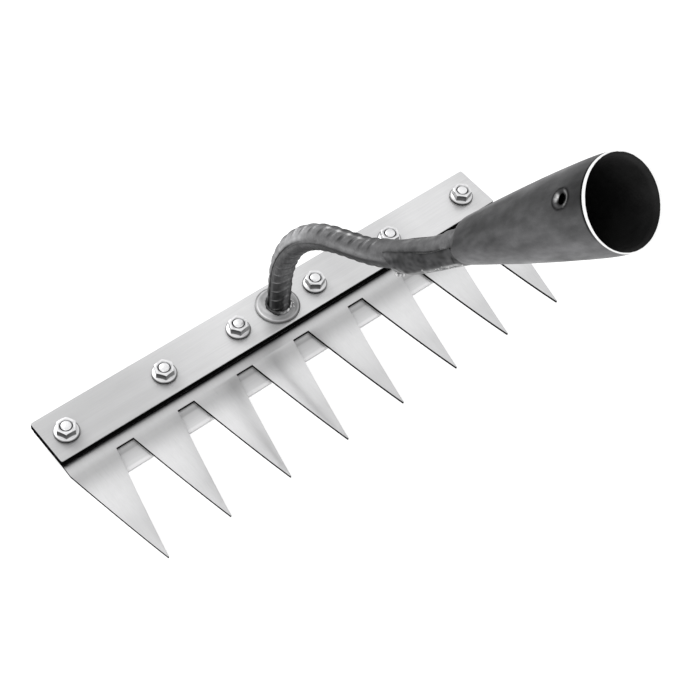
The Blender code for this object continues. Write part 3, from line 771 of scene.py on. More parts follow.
def ripple(point, size, seed=0.0):
    """Smooth noise between -1 and 1 at a point, with features of a given size."""
    return noise.noise(point / size + Vector((seed, seed, seed)))


def nearest_turn(angle):
    """An angle brought between minus and plus half a turn."""
    return (angle + math.pi) % (2 * math.pi) - math.pi


def turn_bell(angle, degrees, width):
    """Bell curve round a turn, with its middle in degrees and its width in radians."""
    return bell(nearest_turn(angle - math.radians(degrees)), 0, width)


# The neck's line

def neck_start():
    """Middle of the neck's foot, on the bar."""
    middle = (WASHER_LOW + WASHER_HIGH) / 2
    return Vector((middle.x, middle.y, BAR_TOP + GAP))


def neck_length():
    """Length of the neck along its line."""
    neck = settings().neck
    return (neck.rise + neck.bend_radius * neck.bend_angle + neck.run
            + neck.back_radius * neck.back_angle + neck.tail)


def neck_line(distance):
    """Centre and direction of the neck at a distance from its foot; past its end the line runs on."""
    neck = settings().neck
    stretches = ((neck.rise, 0.0), (neck.bend_radius * neck.bend_angle, 1 / neck.bend_radius),
                 (neck.run, 0.0), (neck.back_radius * neck.back_angle, -1 / neck.back_radius),
                 (math.inf, 0.0))
    spot = neck_start()
    lean = 0.0
    left = distance
    for length, curvature in stretches:
        step = min(left, length)
        turn = step * curvature
        if curvature:
            forward = (math.cos(lean) - math.cos(lean + turn)) / curvature
            upward = (math.sin(lean + turn) - math.sin(lean)) / curvature
        else:
            forward = step * math.sin(lean)
            upward = step * math.cos(lean)
        spot += Vector((0, -forward, upward))
        lean += turn
        left -= step
    return spot, Vector((0, -math.sin(lean), math.cos(lean)))


def round_line(distance, radius, angle):
    """Point round the neck's line: angle 0 is +X and a quarter turn is the side away from the teeth."""
    centre, along = neck_line(distance)
    away = Vector((0, along.z, -along.y))
    return centre + radius * (math.cos(angle) * Vector((1, 0, 0)) + math.sin(angle) * away)


def hug_radius():
    """Outer radius of the tongue's free end, which lies round the ribs."""
    neck = settings().neck
    return neck.core_radius + neck.rib_height + GAP + settings().socket.wall


# Plates

BEND_BANDS = 36


def bolt_spots():
    """Where the bolts stand, read from their nuts."""
    spots = []
    for number in range(1, BOLT_COUNT + 1):
        low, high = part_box(f"nut_{number}")
        spots.append(Vector(((low.x + high.x) / 2, (low.y + high.y) / 2, low.z)))
    return spots


def bolt_hole_cutter():
    """One cylinder for each bolt."""
    bm = bmesh.new()
    radius = settings().fasteners.bolt_radius + GAP
    for spot in bolt_spots():
        bmesh.ops.create_cone(bm, cap_ends=True, segments=48, radius1=radius, radius2=radius, depth=0.05,
                              matrix=Matrix.Translation(spot))
    return scratch_object("bolt_holes", bm)


def bent_sheet(name, outline, top, thickness):
    """Bmesh of a sheet cut to an outline, drilled, bent down smoothly in front of the bar, edges rounded."""
    plates = settings().plates
    bm = bmesh.new()
    face = bm.faces.new([bm.verts.new((x, y, top)) for x, y in outline])
    grown = bmesh.ops.extrude_face_region(bm, geom=[face])["geom"]
    lower = [item for item in grown if isinstance(item, bmesh.types.BMVert)]
    bmesh.ops.translate(bm, verts=lower, vec=(0, 0, -thickness))
    bmesh.ops.recalc_face_normals(bm, faces=bm.faces)
    sharp = [edge for edge in bm.edges if edge.calc_face_angle() > math.radians(60)
             and abs(edge.verts[0].co.z - edge.verts[1].co.z) < MERGE_DISTANCE]
    bmesh.ops.bevel(bm, geom=sharp, offset=plates.edge_round, segments=2, profile=0.5, affect="EDGES",
                    material=-1)
    sheet = scratch_object(name + "_flat", bm)
    cutter = bolt_hole_cutter()
    add_boolean(sheet, cutter)
    bm = merge_doubles(evaluated(sheet, cutter))
    for band in range(BEND_BANDS + 1):
        reach = plates.tip_reach * band / BEND_BANDS
        bmesh.ops.bisect_plane(bm, geom=bm.verts[:] + bm.edges[:] + bm.faces[:], dist=MERGE_DISTANCE,
                               plane_co=(0, BAR_FRONT - reach, 0), plane_no=(0, 1, 0))
    for vert in bm.verts:
        share = min(max((BAR_FRONT - vert.co.y) / plates.tip_reach, 0.0), 1.0)
        vert.co.z -= plates.blade_underside * (1 - (1 - share) ** plates.drop_exponent)
    return bm


def build_blade():
    """The toothed blade."""
    plates = settings().plates
    pitch = (BLADE_HIGH.x - BLADE_LOW.x + plates.root_width) / plates.tooth_count
    root = BAR_FRONT - plates.root_reach
    tip = BAR_FRONT - plates.tip_reach
    outline = [(BLADE_HIGH.x, BLADE_HIGH.y), (BLADE_LOW.x, BLADE_HIGH.y)]
    for tooth in range(plates.tooth_count):
        left = BLADE_LOW.x + tooth * pitch
        right = left + pitch - plates.root_width
        middle = (left + right) / 2
        outline += [(left, root), (middle - plates.tip_width / 2, tip),
                    (middle + plates.tip_width / 2, tip), (right, root)]
    top = plates.blade_underside + plates.blade_thickness
    bm = bent_sheet("blade", outline, top, plates.blade_thickness)
    finish = plate_material("Blade steel", plates.tone, GRAIN_ALONG_Y, blade_shade)
    finish_piece("blade_sheet", bm, finish, ["toothed_blade"], smooth=25)


def build_strip():
    """The backing strip under the blade."""
    plates = settings().plates
    front = BAR_FRONT - plates.strip_reach
    outline = [(STRIP_HIGH.x, STRIP_HIGH.y), (STRIP_LOW.x, STRIP_HIGH.y), (STRIP_LOW.x, front),
               (STRIP_HIGH.x, front)]
    bm = bent_sheet("strip", outline, STRIP_HIGH.z, plates.strip_thickness)
    # The strip's front cut face is painted white as a highlight
    finish = plate_material("Strip steel", plates.tone, GRAIN_ALONG_X, strip_shade, edge_colour=WHITE,
                            metal=0.45)
    finish_piece("strip_sheet", bm, finish, ["backing_strip"], smooth=25)


def dress_bar():
    """The bar keeps its solid and gets its finish."""
    tone = [1.12 * part for part in settings().plates.tone]
    finish = plate_material("Bar steel", tone, GRAIN_ALONG_X, bar_shade, metal=0.60)
    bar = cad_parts["top_bar"]
    bar.data.materials.clear()
    bar.data.materials.append(finish)


# Fasteners

# Turn of each nut and of its bolt in degrees, from the bar's left end to its right end
FASTENER_TURNS = (27, 36, 37, 54, 33, 46)

# Heights of the nut's flange: its rim, its shoulder under the hexagon and its top inside the hexagon
FLANGE_RIM = 0.0011
FLANGE_SHOULDER = 0.0016
FLANGE_TOP = 0.0019

# Below this height a corner of the nut belongs to its flange, and above the other one to its upper mouth
FLANGE_CORNERS = 0.0021
MOUTH_CORNERS = 0.003

BORE_PLAY = 0.0001
BORE_CHAMFER = 0.0006
CHAMFER_DEPTH = 0.0012
NUT_SOFTNESS = 0.00014
BOLT_SOFTNESS = 0.00012


def hexagon_body(name, height, lift, up):
    """Linked hexagon with the corners of one end cut by a cone of 30 degrees; up tells which end."""
    values = settings().fasteners
    flat = values.flats / 2
    turn = Matrix.Translation((0, 0, lift)) @ Matrix.Rotation(0.0 if up else math.pi, 4, "X")
    bm = bmesh.new()
    bmesh.ops.create_cone(bm, cap_ends=True, segments=6, radius1=flat / math.cos(math.pi / 6),
                          radius2=flat / math.cos(math.pi / 6), depth=height,
                          matrix=turn @ Matrix.Translation((0, 0, -height / 2)))
    body = scratch_object(name, bm)
    spread = 2 * height * math.sqrt(3)
    bm = bmesh.new()
    bmesh.ops.create_cone(bm, cap_ends=True, segments=96, radius1=flat + spread, radius2=flat,
                          depth=2 * height, matrix=turn @ Matrix.Translation((0, 0, -height)))
    cone = scratch_object(name + "_cone", bm)
    add_boolean(body, cone, "INTERSECT")
    return body, cone


def turned_bm(profile, steps=72):
    """Closed shape turned about Z from a profile of (radius, height) points.

    The profile starts and ends on the axis, or ends where it starts.
    """
    bm = bmesh.new()
    verts = [bm.verts.new((radius, 0, height)) for radius, height in profile]
    edges = [bm.edges.new(pair) for pair in zip(verts, verts[1:])]
    bmesh.ops.spin(bm, geom=verts + edges, cent=(0, 0, 0), axis=(0, 0, 1), dvec=(0, 0, 0),
                   angle=2 * math.pi, steps=steps, use_merge=True)
    return merge_doubles(bm)


def nut_mesh():
    """Flange nut with its underside at height 0."""
    values = settings().fasteners
    body, cone = hexagon_body("nut", values.nut_height, values.nut_height, up=True)
    waist = values.flats / 2
    wide = values.flange_radius
    flange_profile = [(0, 0), (wide - 0.0002, 0), (wide, 0.0001), (wide, FLANGE_RIM - 0.0002),
                      (wide - 0.0002, FLANGE_RIM), (wide - 0.0008, FLANGE_RIM + 0.0001),
                      (waist + 0.0006, FLANGE_SHOULDER), (waist - 0.0002, FLANGE_TOP), (0, FLANGE_TOP)]
    flange = scratch_object("nut_flange", turned_bm(flange_profile))
    add_boolean(body, flange, "UNION")
    bore = values.bolt_radius + BORE_PLAY
    mouth = bore + BORE_CHAMFER
    top = values.nut_height
    bore_profile = [(0, -0.001), (bore, -0.001), (bore, top - CHAMFER_DEPTH), (mouth, top),
                    (mouth, top + 0.001), (0, top + 0.001)]
    hole = scratch_object("nut_hole", turned_bm(bore_profile))
    add_boolean(body, hole)
    bm = softened(body, NUT_SOFTNESS, cone, flange, hole)
    # Painted shade: a darker ring on the flange round the hexagon, a near black flange rim and a darker mouth
    level = bm.verts.layers.float.new("level")
    for vert in bm.verts:
        vert[level] = 1.0
        off = math.hypot(vert.co.x, vert.co.y)
        if vert.co.z < FLANGE_CORNERS:
            vert[level] = 1.02 - 0.16 * bell(off, waist + 0.0004, 0.0005)
            if off > wide - 0.0003:
                vert[level] = 0.16
        elif off < values.bolt_radius + 0.0009:
            vert[level] = 0.9
    return bm


def bolt_mesh():
    """Hex head bolt that stands on its head, with the head's outer face at height 0."""
    values = settings().fasteners
    low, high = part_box("bolt_1")
    length = high.z - low.z
    head, cone = hexagon_body("bolt", values.head_height, 0.0, up=False)
    radius = values.bolt_radius
    foot = values.head_height / 2
    profile = [(0, foot), (radius, foot), (radius, length - 0.0007), (radius - 0.0002, length - 0.0003),
               (radius - 0.0006, length - 0.00005), (0, length)]
    shank = scratch_object("bolt_shank", turned_bm(profile))
    add_boolean(head, shank, "UNION")
    bm = softened(head, BOLT_SOFTNESS, cone, shank)
    level = bm.verts.layers.float.new("level")
    for vert in bm.verts:
        vert[level] = 1.0
    return bm


def shade_nut(bm, centre):
    """Paints shade in a placed nut's upper mouth on two sides, and on its flange on the side away from the
    camera.
    """
    values = settings().fasteners
    level = bm.verts.layers.float["level"]
    for vert in bm.verts:
        away = vert.co - centre
        off = math.hypot(away.x, away.y)
        if away.z > MOUTH_CORNERS and 0.0005 < off < values.bolt_radius + 0.0008:
            vert[level] = 0.88 - 0.48 * (away.xy.normalized() @ Vector(DARK_ACROSS)) ** 2
        elif away.z < FLANGE_CORNERS and off > values.flats / 2:
            vert[level] *= 0.88 + 0.12 * max(0.0, away.dot(Vector(DARK_SIDE)) / off)


def build_fasteners():
    """Six nuts and six bolts, each turned as its solid is."""
    values = settings().fasteners
    nut_finish = zinc_material("Nut zinc", values.tone)
    bolt_finish = zinc_material("Bolt zinc", [1.04 * part for part in values.tone])
    kinds = (("nut", nut_mesh(), nut_finish), ("bolt", bolt_mesh(), bolt_finish))
    for kind, shape, finish in kinds:
        for number, (spot, turn) in enumerate(zip(bolt_spots(), FASTENER_TURNS), start=1):
            bm = shape.copy()
            base = spot.z if kind == "nut" else 0.0
            place = (Matrix.Translation((spot.x, spot.y, base))
                     @ Matrix.Rotation(math.radians(turn), 4, "Z"))
            bmesh.ops.transform(bm, matrix=place, verts=bm.verts)
            if kind == "nut":
                shade_nut(bm, place.translation)
            finish_piece(f"{kind}_piece_{number}", bm, finish, [f"{kind}_{number}"],
                         smooth=32, keep_normals=True)
        shape.free()


# Neck

# Bands of painted light and shade along the neck: change of tone, middle and spread round the rod in degrees,
# and the distances from the foot at which the band starts, is full, starts to fade and has gone
NECK_BANDS = (
    (1.60, 140, 30, -0.005, 0.035, 0.078, 0.112),
    (0.28, 130, 30, 0.054, 0.064, 0.078, 0.092),
    (0.45, 160, 11, 0.030, 0.050, 0.086, 0.100),
    (0.50, 102, 11, 0.070, 0.080, 0.098, 0.106),
    (0.32, 114, 22, 0.050, 0.065, 0.084, 0.104),
    (-0.25, 118, 16, 0.112, 0.120, 0.134, 0.142),
    (-0.72, 156, 22, -0.020, -0.010, 0.010, 0.032),
    (-0.30, 162, 9, -0.020, 0.000, 0.030, 0.050),
    (0.30, 90, 12, 0.096, 0.108, 0.130, 0.142),
    (0.30, 156, 20, 0.092, 0.106, 0.150, 0.165),
    (0.40, 165, 10, 0.095, 0.118, 0.155, 0.175),
    (-0.32, 186, 10, 0.098, 0.116, 0.150, 0.165),
    (-0.80, 222, 34, -0.020, -0.010, 0.006, 0.044),
    (-0.30, 142, 14, 0.160, 0.170, 0.185, 0.200),
    (0.35, 135, 14, 0.195, 0.208, 0.240, 0.250),
    (0.28, 236, 16, 0.028, 0.038, 0.062, 0.074),
    (0.55, 88, 7, 0.086, 0.096, 0.136, 0.144),
    (-0.60, 246, 9, -0.020, -0.010, 0.012, 0.026),
)


def mirrored_side(angle):
    """Place round the rod in degrees, 90 away from the teeth, 180 on a long rib, 270 towards the teeth."""
    return math.degrees(math.atan2(math.sin(angle), -abs(math.cos(angle)))) % 360


# The ribs of the outer side start this far before the foot, and those of the inner side this far past it
OUTER_START = 0.0012
INNER_START = 0.0120

# How far the inner ribs lean along the rod in 45 degrees
INNER_LEAN = 0.0025

# Half the width of a long rib, and the stretch along the rod in which the crescents end at the socket
LONG_RIB = 0.0008
RIBS_END = (0.146, 0.158)


def rib_offset(distance, angle):
    """Distance along the rod from the nearest rib, and whether it is a rib of the outer side."""
    neck = settings().neck
    outer = math.sin(angle) > 0
    if outer:
        place = distance + OUTER_START + neck.rib_slant * nearest_turn(angle - QUARTER) / QUARTER
        pitch = neck.rib_pitch
    else:
        place = distance - INNER_START - INNER_LEAN * (mirrored_side(angle) - 210) / 45
        pitch = neck.inner_pitch
    return place - round(place / pitch) * pitch, outer


def rib_relief(distance, angle):
    """Height of the ribs at a place on the rod, from 0 to 1: crescents between two long ribs."""
    neck = settings().neck
    offset, outer = rib_offset(distance, angle)
    off = nearest_turn(angle - (QUARTER if outer else -QUARTER)) / QUARTER
    crescent = max(0.0, 1 - (offset / neck.rib_width) ** 2) * (1 - off * off) ** 0.6
    crescent *= (1.0 if outer else 0.55) * (1 - rise(distance, *RIBS_END))
    across = (1 - abs(off)) * QUARTER * neck.core_radius
    long_rib = 0.8 * max(0.0, 1 - (across / LONG_RIB) ** 2)
    return max(crescent, long_rib)


def neck_tone(distance, angle):
    """The painted highlights and rubbed spots on the rod at a place, and its painted light and shade there.
    """
    side = mirrored_side(angle)
    offset, outer = rib_offset(distance, angle)
    # Painted light and shade round the rod, then its bands
    level = 1.0 - 0.05 * rise(side, 176, 190) + 0.18 * rise(side, 222, 240)
    for change, middle, spread, *stretch in NECK_BANDS:
        level *= 1 + change * bell(side, middle, spread) * between(distance, *stretch)

    # Painted black shadow line beside the long rib, wider at the foot and gone before the socket
    middle = 166 + 3.5 * rise(distance, 0.010, 0.026) + 4.5 * rise(distance, 0.036, 0.062)
    shadow_line = bell(side, middle, 5.0 + 3.0 * (1 - rise(distance, 0.006, 0.032)))
    level *= 1 - 0.97 * shadow_line * (1 - rise(distance, 0.058, 0.096))

    # Clouds of the scale
    spot = Vector((distance * 220, side / 11, 0))
    level *= 1 + (0.10 + 0.16 * rise(side, 185, 215)) * ripple(spot, 1.0, 3.0)

    if outer:
        # Painted shade on one flank of each rib and a painted highlight on the other, a painted glint on its
        # back, and painted light spots where the weld runs on the rod
        ribbed = between(distance, 0.056, 0.072, 0.146, 0.156) * (1.30 - 0.30 * rise(distance, 0.084, 0.098))
        flank = bell(side, 122, 17) * ribbed
        level *= 1 - 0.70 * bell(offset, -0.0004, 0.0011) * flank
        level *= 1 + 0.16 * bell(offset, 0.0016, 0.0009) * flank
        glint = between(distance, 0.098, 0.110, 0.132, 0.144)
        crest = 0.62 * bell(offset, 0.0015, 0.0015) * bell(side, 91, 6) * glint
        cloud = max(0.0, ripple(Vector((distance * 160, side / 40, 0)), 1.0, 7.0))
        crest += 0.30 * cloud * bell(side, 96, 12) * rise(distance, 0.172, 0.182)
    else:
        # A painted shadow at each inner rib, a painted highlight line on it and on the long rib, and light
        # spots in front
        level *= 1 - 0.42 * bell(offset, 0.0, 0.0012) * bell(side, 238, 24) * rise(distance, 0.030, 0.044)
        line = max(0.0, 1 - (offset / 0.0005) ** 2) * bell(side, 208, 20) * (1 - rise(distance, 0.036, 0.052))
        crest = 0.42 * line + 0.12 * bell(side, 186, 4) * (1 - rise(distance, 0.070, 0.100))
        crest += 0.25 * max(0.0, ripple(spot, 0.7, 8.0)) * bell(side, 268, 18)
    return crest, level


# Length of the faces along the rod and their number round it
ROD_STEP = 0.00046
ROD_COLUMNS = 120


def build_neck():
    """The ribbed rod."""
    neck = settings().neck
    length = neck_length()

    def place(u, v):
        """Point of the rod at a share of its length and of its turn, with its painted highlights, light and
        shade.
        """
        distance = u * length
        angle = 2 * math.pi * v
        outward = math.sin(angle)
        centre, _ = neck_line(distance)
        dent = 0.00007 * ripple(centre + ring_point(angle) * 0.006, 0.004)
        radius = neck.core_radius + neck.rib_height * rib_relief(distance, angle) + dent
        radius += 0.0014 * between(distance, 0.136, 0.156, 0.172, 0.200) * rise(outward, 0.2, 0.8)
        radius += 0.0004 * between(distance, 0.024, 0.040, 0.102, 0.116) * rise(-outward, 0.1, 0.5)
        return round_line(distance, radius, angle), *neck_tone(distance, angle)

    bm = wrapped_grid(int(length / ROD_STEP), ROD_COLUMNS, place, ("crest", "level"))
    close_holes(bm)
    finish_piece("neck_rebar", bm, scale_material("Neck scale", neck.tone, patch=190.0),
                 ["neck_rod"], smooth=50)


# Foot of the neck

# The washer's outline lies a little outside its solid's and is shifted, and its edge is worn thin
WASHER_GROWTH = 0.0006
WASHER_SHIFT = Vector((-0.0005, 0.0004, 0.0))
WASHER_EDGE = 0.0008

# Section of the bead round the neck: how deep it starts in the rod, its width, height and lowest place
BEAD_SINK = 0.0004
BEAD_WIDTH = 0.0018
BEAD_HEIGHT = 0.0013
BEAD_FOOT = -0.0004


def build_washer():
    """The washer, with painted light and shade round it, a painted highlight ring inside its edge and a
    painted dark outline.
    """
    inner = settings().neck.core_radius
    outer = (WASHER_HIGH.x - WASHER_LOW.x) / 2 + WASHER_GROWTH
    thick = WASHER_HIGH.z - WASHER_LOW.z
    edge = WASHER_EDGE
    profile = [(inner, 0), (outer - 0.0001, 0), (outer, 0.0001), (outer, edge - 0.0003),
               (outer - 0.0002, edge - 0.0001), (outer - 0.0006, edge), (outer - 0.0012, edge + 0.0001),
               (outer - 0.0022, edge + 0.0003), (inner + 0.0018, thick), (inner, thick), (inner, 0)]
    bm = turned_bm(profile, steps=128)
    long_edges = [item for item in bm.edges if item.calc_length() > 0.0010]
    bmesh.ops.subdivide_edges(bm, edges=long_edges, cuts=3)
    in_fixed_order(bm)
    painted_level = bm.verts.layers.float.new("level")
    for vert in bm.verts:
        angle = math.atan2(vert.co.y, vert.co.x)
        off = math.hypot(vert.co.x, vert.co.y)
        # Painted light and shade round the washer, a painted highlight ring inside its edge, and a painted
        # dark outline at its edge, darkest on the side towards the camera
        light = 0.62 + 0.39 * turn_bell(angle, 192, 0.72) - 0.12 * turn_bell(angle, 318, 0.50)
        light *= 1 + 0.55 * bell(off, outer - 0.0013, 0.0004) + 0.10 * math.sin(5 * angle + off * 2600)
        seen = 0.5 + 0.5 * math.cos(angle - math.radians(240))
        vert[painted_level] = light * (1 - (0.34 + 0.28 * seen) * rise(off, outer - 0.0009, outer - 0.0004))
        vert.co += rise(off, inner + 0.0010, outer) * WASHER_SHIFT
    bmesh.ops.translate(bm, verts=bm.verts, vec=neck_start())
    finish = washer_material("Washer steel", (0.52, 0.52, 0.525))
    finish_piece("foot_washer", bm, finish, ["neck_washer"])


def build_foot_weld():
    """The bead round the foot of the neck, on the washer."""
    start = settings().neck.core_radius - BEAD_SINK
    base = neck_start() + Vector((0, 0, WASHER_HIGH.z - WASHER_LOW.z))

    def place(u, v):
        """Point of the bead, with its painted glints and shade: u goes round the neck, v round the bead's
        section.
        """
        angle = 2 * math.pi * u
        section = 2 * math.pi * v
        front = turn_bell(angle, 226, 0.36)
        size = 0.9 + 0.10 * math.cos(19 * angle + 1.4 * math.sin(3 * angle))
        size += 0.25 * ripple(ring_point(angle, 0.3), 0.35) + 0.8 * front
        out = start + BEAD_WIDTH / 2 * (1 + size * math.cos(section))
        rising = max(BEAD_HEIGHT * size * math.sin(section), BEAD_FOOT)
        # Painted light on the right side with painted glints there, and painted shade in front
        right = 0.5 + 0.5 * math.cos(angle + 0.95)
        streak = max(0.0, 0.25 + ripple(Vector((angle * 2.2, section * 0.8, 0)), 0.5, 3.0))
        crest = min(0.85, 2.6 * right ** 6 * streak)
        return base + ring_point(angle, rising, out), crest, (0.40 + 1.3 * right) * (1 - 0.75 * front)

    bm = wrapped_grid(220, 20, place, ("crest", "level"))
    finish_piece("foot_weld", bm, scale_material("Foot weld", (0.10, 0.10, 0.102)),
                 ["neck_weld"], smooth=60)


# Socket

def socket_start():
    """Distance along the neck's line at which the socket's small end lies."""
    return neck_length() - settings().socket.insert


def socket_radius(share):
    """Outer radius at a share of the way from the small end to the mouth."""
    values = settings().socket
    straight = 1 - values.lip / values.length
    grown = 1 - (1 - min(share / straight, 1.0)) ** values.bell
    return values.small_radius + (values.mouth_radius - values.small_radius) * grown


# The dimple round the screw hole: its depth, outer and inner radius, and the height and width of its brim
DIMPLE_DEPTH = 0.0006
DIMPLE_RADIUS = 0.0040
DIMPLE_FLOOR = 0.0021
BRIM_HEIGHT = 0.00025
BRIM_WIDTH = 0.0009

# The dimple is longer along the socket than across it
DIMPLE_STRETCH = 1.35

# The socket's seam, on its hidden side: its place in degrees, half its width and its depth
SEAM_PLACE = 62
SEAM_WIDTH = 0.00032
SEAM_DEPTH = 0.00030


def dimple(hole_off):
    """How far the sheet is pushed in at a distance from the screw hole."""
    pushed = 1 - rise(hole_off, DIMPLE_FLOOR, DIMPLE_RADIUS)
    return DIMPLE_DEPTH * pushed - BRIM_HEIGHT * bell(hole_off, DIMPLE_RADIUS, BRIM_WIDTH)


def mouth_oval(angle):
    """How much of its oval the mouth has at an angle: 1 across its narrow way, 0 along its wide way."""
    return math.cos(angle - settings().socket.oval_angle) ** 2


def socket_surface(share, angle):
    """Point on the outside of the socket, with its painted highlights, light and shade."""
    values = settings().socket
    radius = socket_radius(share)
    along = share * values.length
    from_mouth = values.length - along
    side = mirrored_side(angle)
    radius -= values.mouth_radius * values.oval * mouth_oval(angle) * rise(along, 0.060, values.length)

    # Screw hole, seam and shallow waves, and the small end pressed flat above the neck
    hole_along = from_mouth - values.hole_place
    hole_across = nearest_turn(angle - values.hole_angle) * radius
    hole_off = math.hypot(hole_along / DIMPLE_STRETCH, hole_across)
    seam = bell(nearest_turn(angle - math.radians(SEAM_PLACE)) * radius, 0, SEAM_WIDTH)
    wave = 0.00007 * ripple(ring_point(angle, along * 40), 0.7)
    radius += wave * rise(from_mouth, 0.0, 0.012) - SEAM_DEPTH * seam - dimple(hole_off)
    radius -= 0.0026 * max(0.0, 1 - along / 0.009) ** 2 * rise(math.sin(angle), 0.0, 0.6)
    point = round_line(socket_start() + along, radius, angle)

    # Two painted glints and a painted bright arc at the screw hole
    crest = 1.1 * bell(math.hypot(hole_along - 0.0028, hole_across + 0.0014), 0, 0.0009)
    crest += 0.8 * bell(math.hypot(hole_along - 0.0038, hole_across + 0.0003), 0, 0.0007)
    crest += 0.40 * bell(hole_off, 0.0031, 0.0005) * rise(-hole_along, 0.0008, 0.0025)

    # Painted light and shade round the socket, with clouds of the scale in it
    level = 0.62 + 0.55 * (1 - rise(side, 92, 138)) + 0.65 * rise(side, 140, 185)
    level += 1.5 * rise(side, 190, 240) + 0.07 * bell(side, 142, 12) + 0.28 * bell(side, 206, 16)
    cloud = ripple(ring_point(angle, along * 45, 2), 0.8, 5.0)
    cloud += 0.9 * ripple(ring_point(angle, along * 90 + angle, 4), 0.6, 2.0)
    level *= 1 + 0.26 * cloud
    level *= 1 + 0.70 * (1 - rise(side, 94, 116))

    # Darker towards the mouth; painted shade at its lip, at the small end and round the screw hole; darker in
    # the seam
    level *= 1 - 0.14 * bell(from_mouth, 0.0, 0.022)
    level *= 1 - 0.35 * bell(from_mouth, 0.0, 0.016) * (1 - rise(side, 150, 185))
    level *= 1 - 0.85 * (1 - rise(from_mouth, 0.0007, 0.0018)) * (1 - rise(side, 180, 215))
    level *= 1 - 0.30 * bell(along, 0.003, 0.008) * bell(side, 168, 16)
    level *= 1 - 0.8 * seam
    level *= 1 - 0.80 * bell(hole_off, 0.0042, 0.0005)
    level *= 1 - 0.9 * bell(hole_off, 0.0019, 0.0008)
    return point, crest, level


def tongue_wrap(back):
    """How far the tongue's edges lie past the middle of the rod, at a share of the way to its free end."""
    values = settings().socket
    start = values.tongue_start * 2 * math.pi / values.columns
    grown = 0.78 * rise(back, 0.28, 0.80) + 0.22 * rise(back, 0.70, 1.0)
    return start + (values.tongue_wrap - start) * grown


def tongue_radius(back):
    """Outer radius of the tongue at a share of the way from the socket to its free end."""
    small = settings().socket.small_radius
    return small + (hug_radius() - small) * back


def tongue_surface(back, angle):
    """Point on the outside of the tongue at a share of the way to its free end, with its painted highlights,
    light and shade.
    """
    values = settings().socket
    lean = max(0.0, math.sin(angle)) / math.sin(values.tongue_wrap)
    along = (values.tongue + values.tongue_lean * lean * back) * back
    spot = ring_point(angle, back * 3)
    radius = tongue_radius(back) - 0.0009 * rise(back, 0.84, 1.0)
    radius += 0.00012 * ripple(spot, 0.35, 4.0) * min(1.0, back * 8)
    point = round_line(socket_start() - along, radius, angle)

    # Painted shade along its edges and in the crease at the socket, painted light in front and at the free
    # end, clouded
    side = mirrored_side(angle)
    edge = 180 - math.degrees(tongue_wrap(back))
    level = 0.75 * (1 - 0.44 * bell(side, edge, 4.0)) * (1 + 0.45 * rise(back, 0.84, 0.97))
    level *= 1 + 0.9 * rise(side, 205, 232)
    crease = along - 0.0030 - 0.0040 * (side - 200) / 30
    level *= 1 - 0.70 * bell(crease, 0.0, 0.0007) * rise(side, 185, 200)
    fine = Vector((side / 15, along * 280, 0))
    level *= 1 + 0.30 * ripple(spot, 0.30, 9.0) + 0.60 * ripple(fine, 1.0, 2.0)

    # Painted bright, broken highlight streaks in front and a painted highlight spot at the free end
    streak = Vector((angle * 3, along * 210, 0))
    broken_share = min(1.0, max(0.0, 0.60 + 1.1 * ripple(streak, 0.7, 2.0)))
    crest = (0.42 + 0.50 * (1 - rise(back, 0.08, 0.38))) * rise(side, 214, 228)
    crest *= broken_share * rise(along, 0.001, 0.006) * (1 - 0.6 * rise(side, 240, 246))
    crest += 0.55 * broken_share * bell(side, 212, 14) * rise(back, 0.80, 0.88)
    return point, crest, level


# Rows of faces along the closed socket and along the tongue, and how deep its mouth is ground inside
SOCKET_ROWS = 220
TONGUE_ROWS = 110
GROUND_DEPTH = 0.004


def screw_hole_cutter():
    """Cylinder square to the socket's wall at the screw hole."""
    values = settings().socket
    share = 1 - values.hole_place / values.length
    far, near = (round_line(socket_start() + share * values.length, socket_radius(share) + out,
                            values.hole_angle) for out in (0.004, -0.008))
    turn = (far - near).to_track_quat("Z", "Y").to_matrix().to_4x4()
    bm = bmesh.new()
    bmesh.ops.create_cone(bm, cap_ends=True, segments=48, radius1=values.hole_radius,
                          radius2=values.hole_radius, depth=(far - near).length,
                          matrix=Matrix.Translation((far + near) / 2) @ turn)
    return scratch_object("screw_hole", bm)


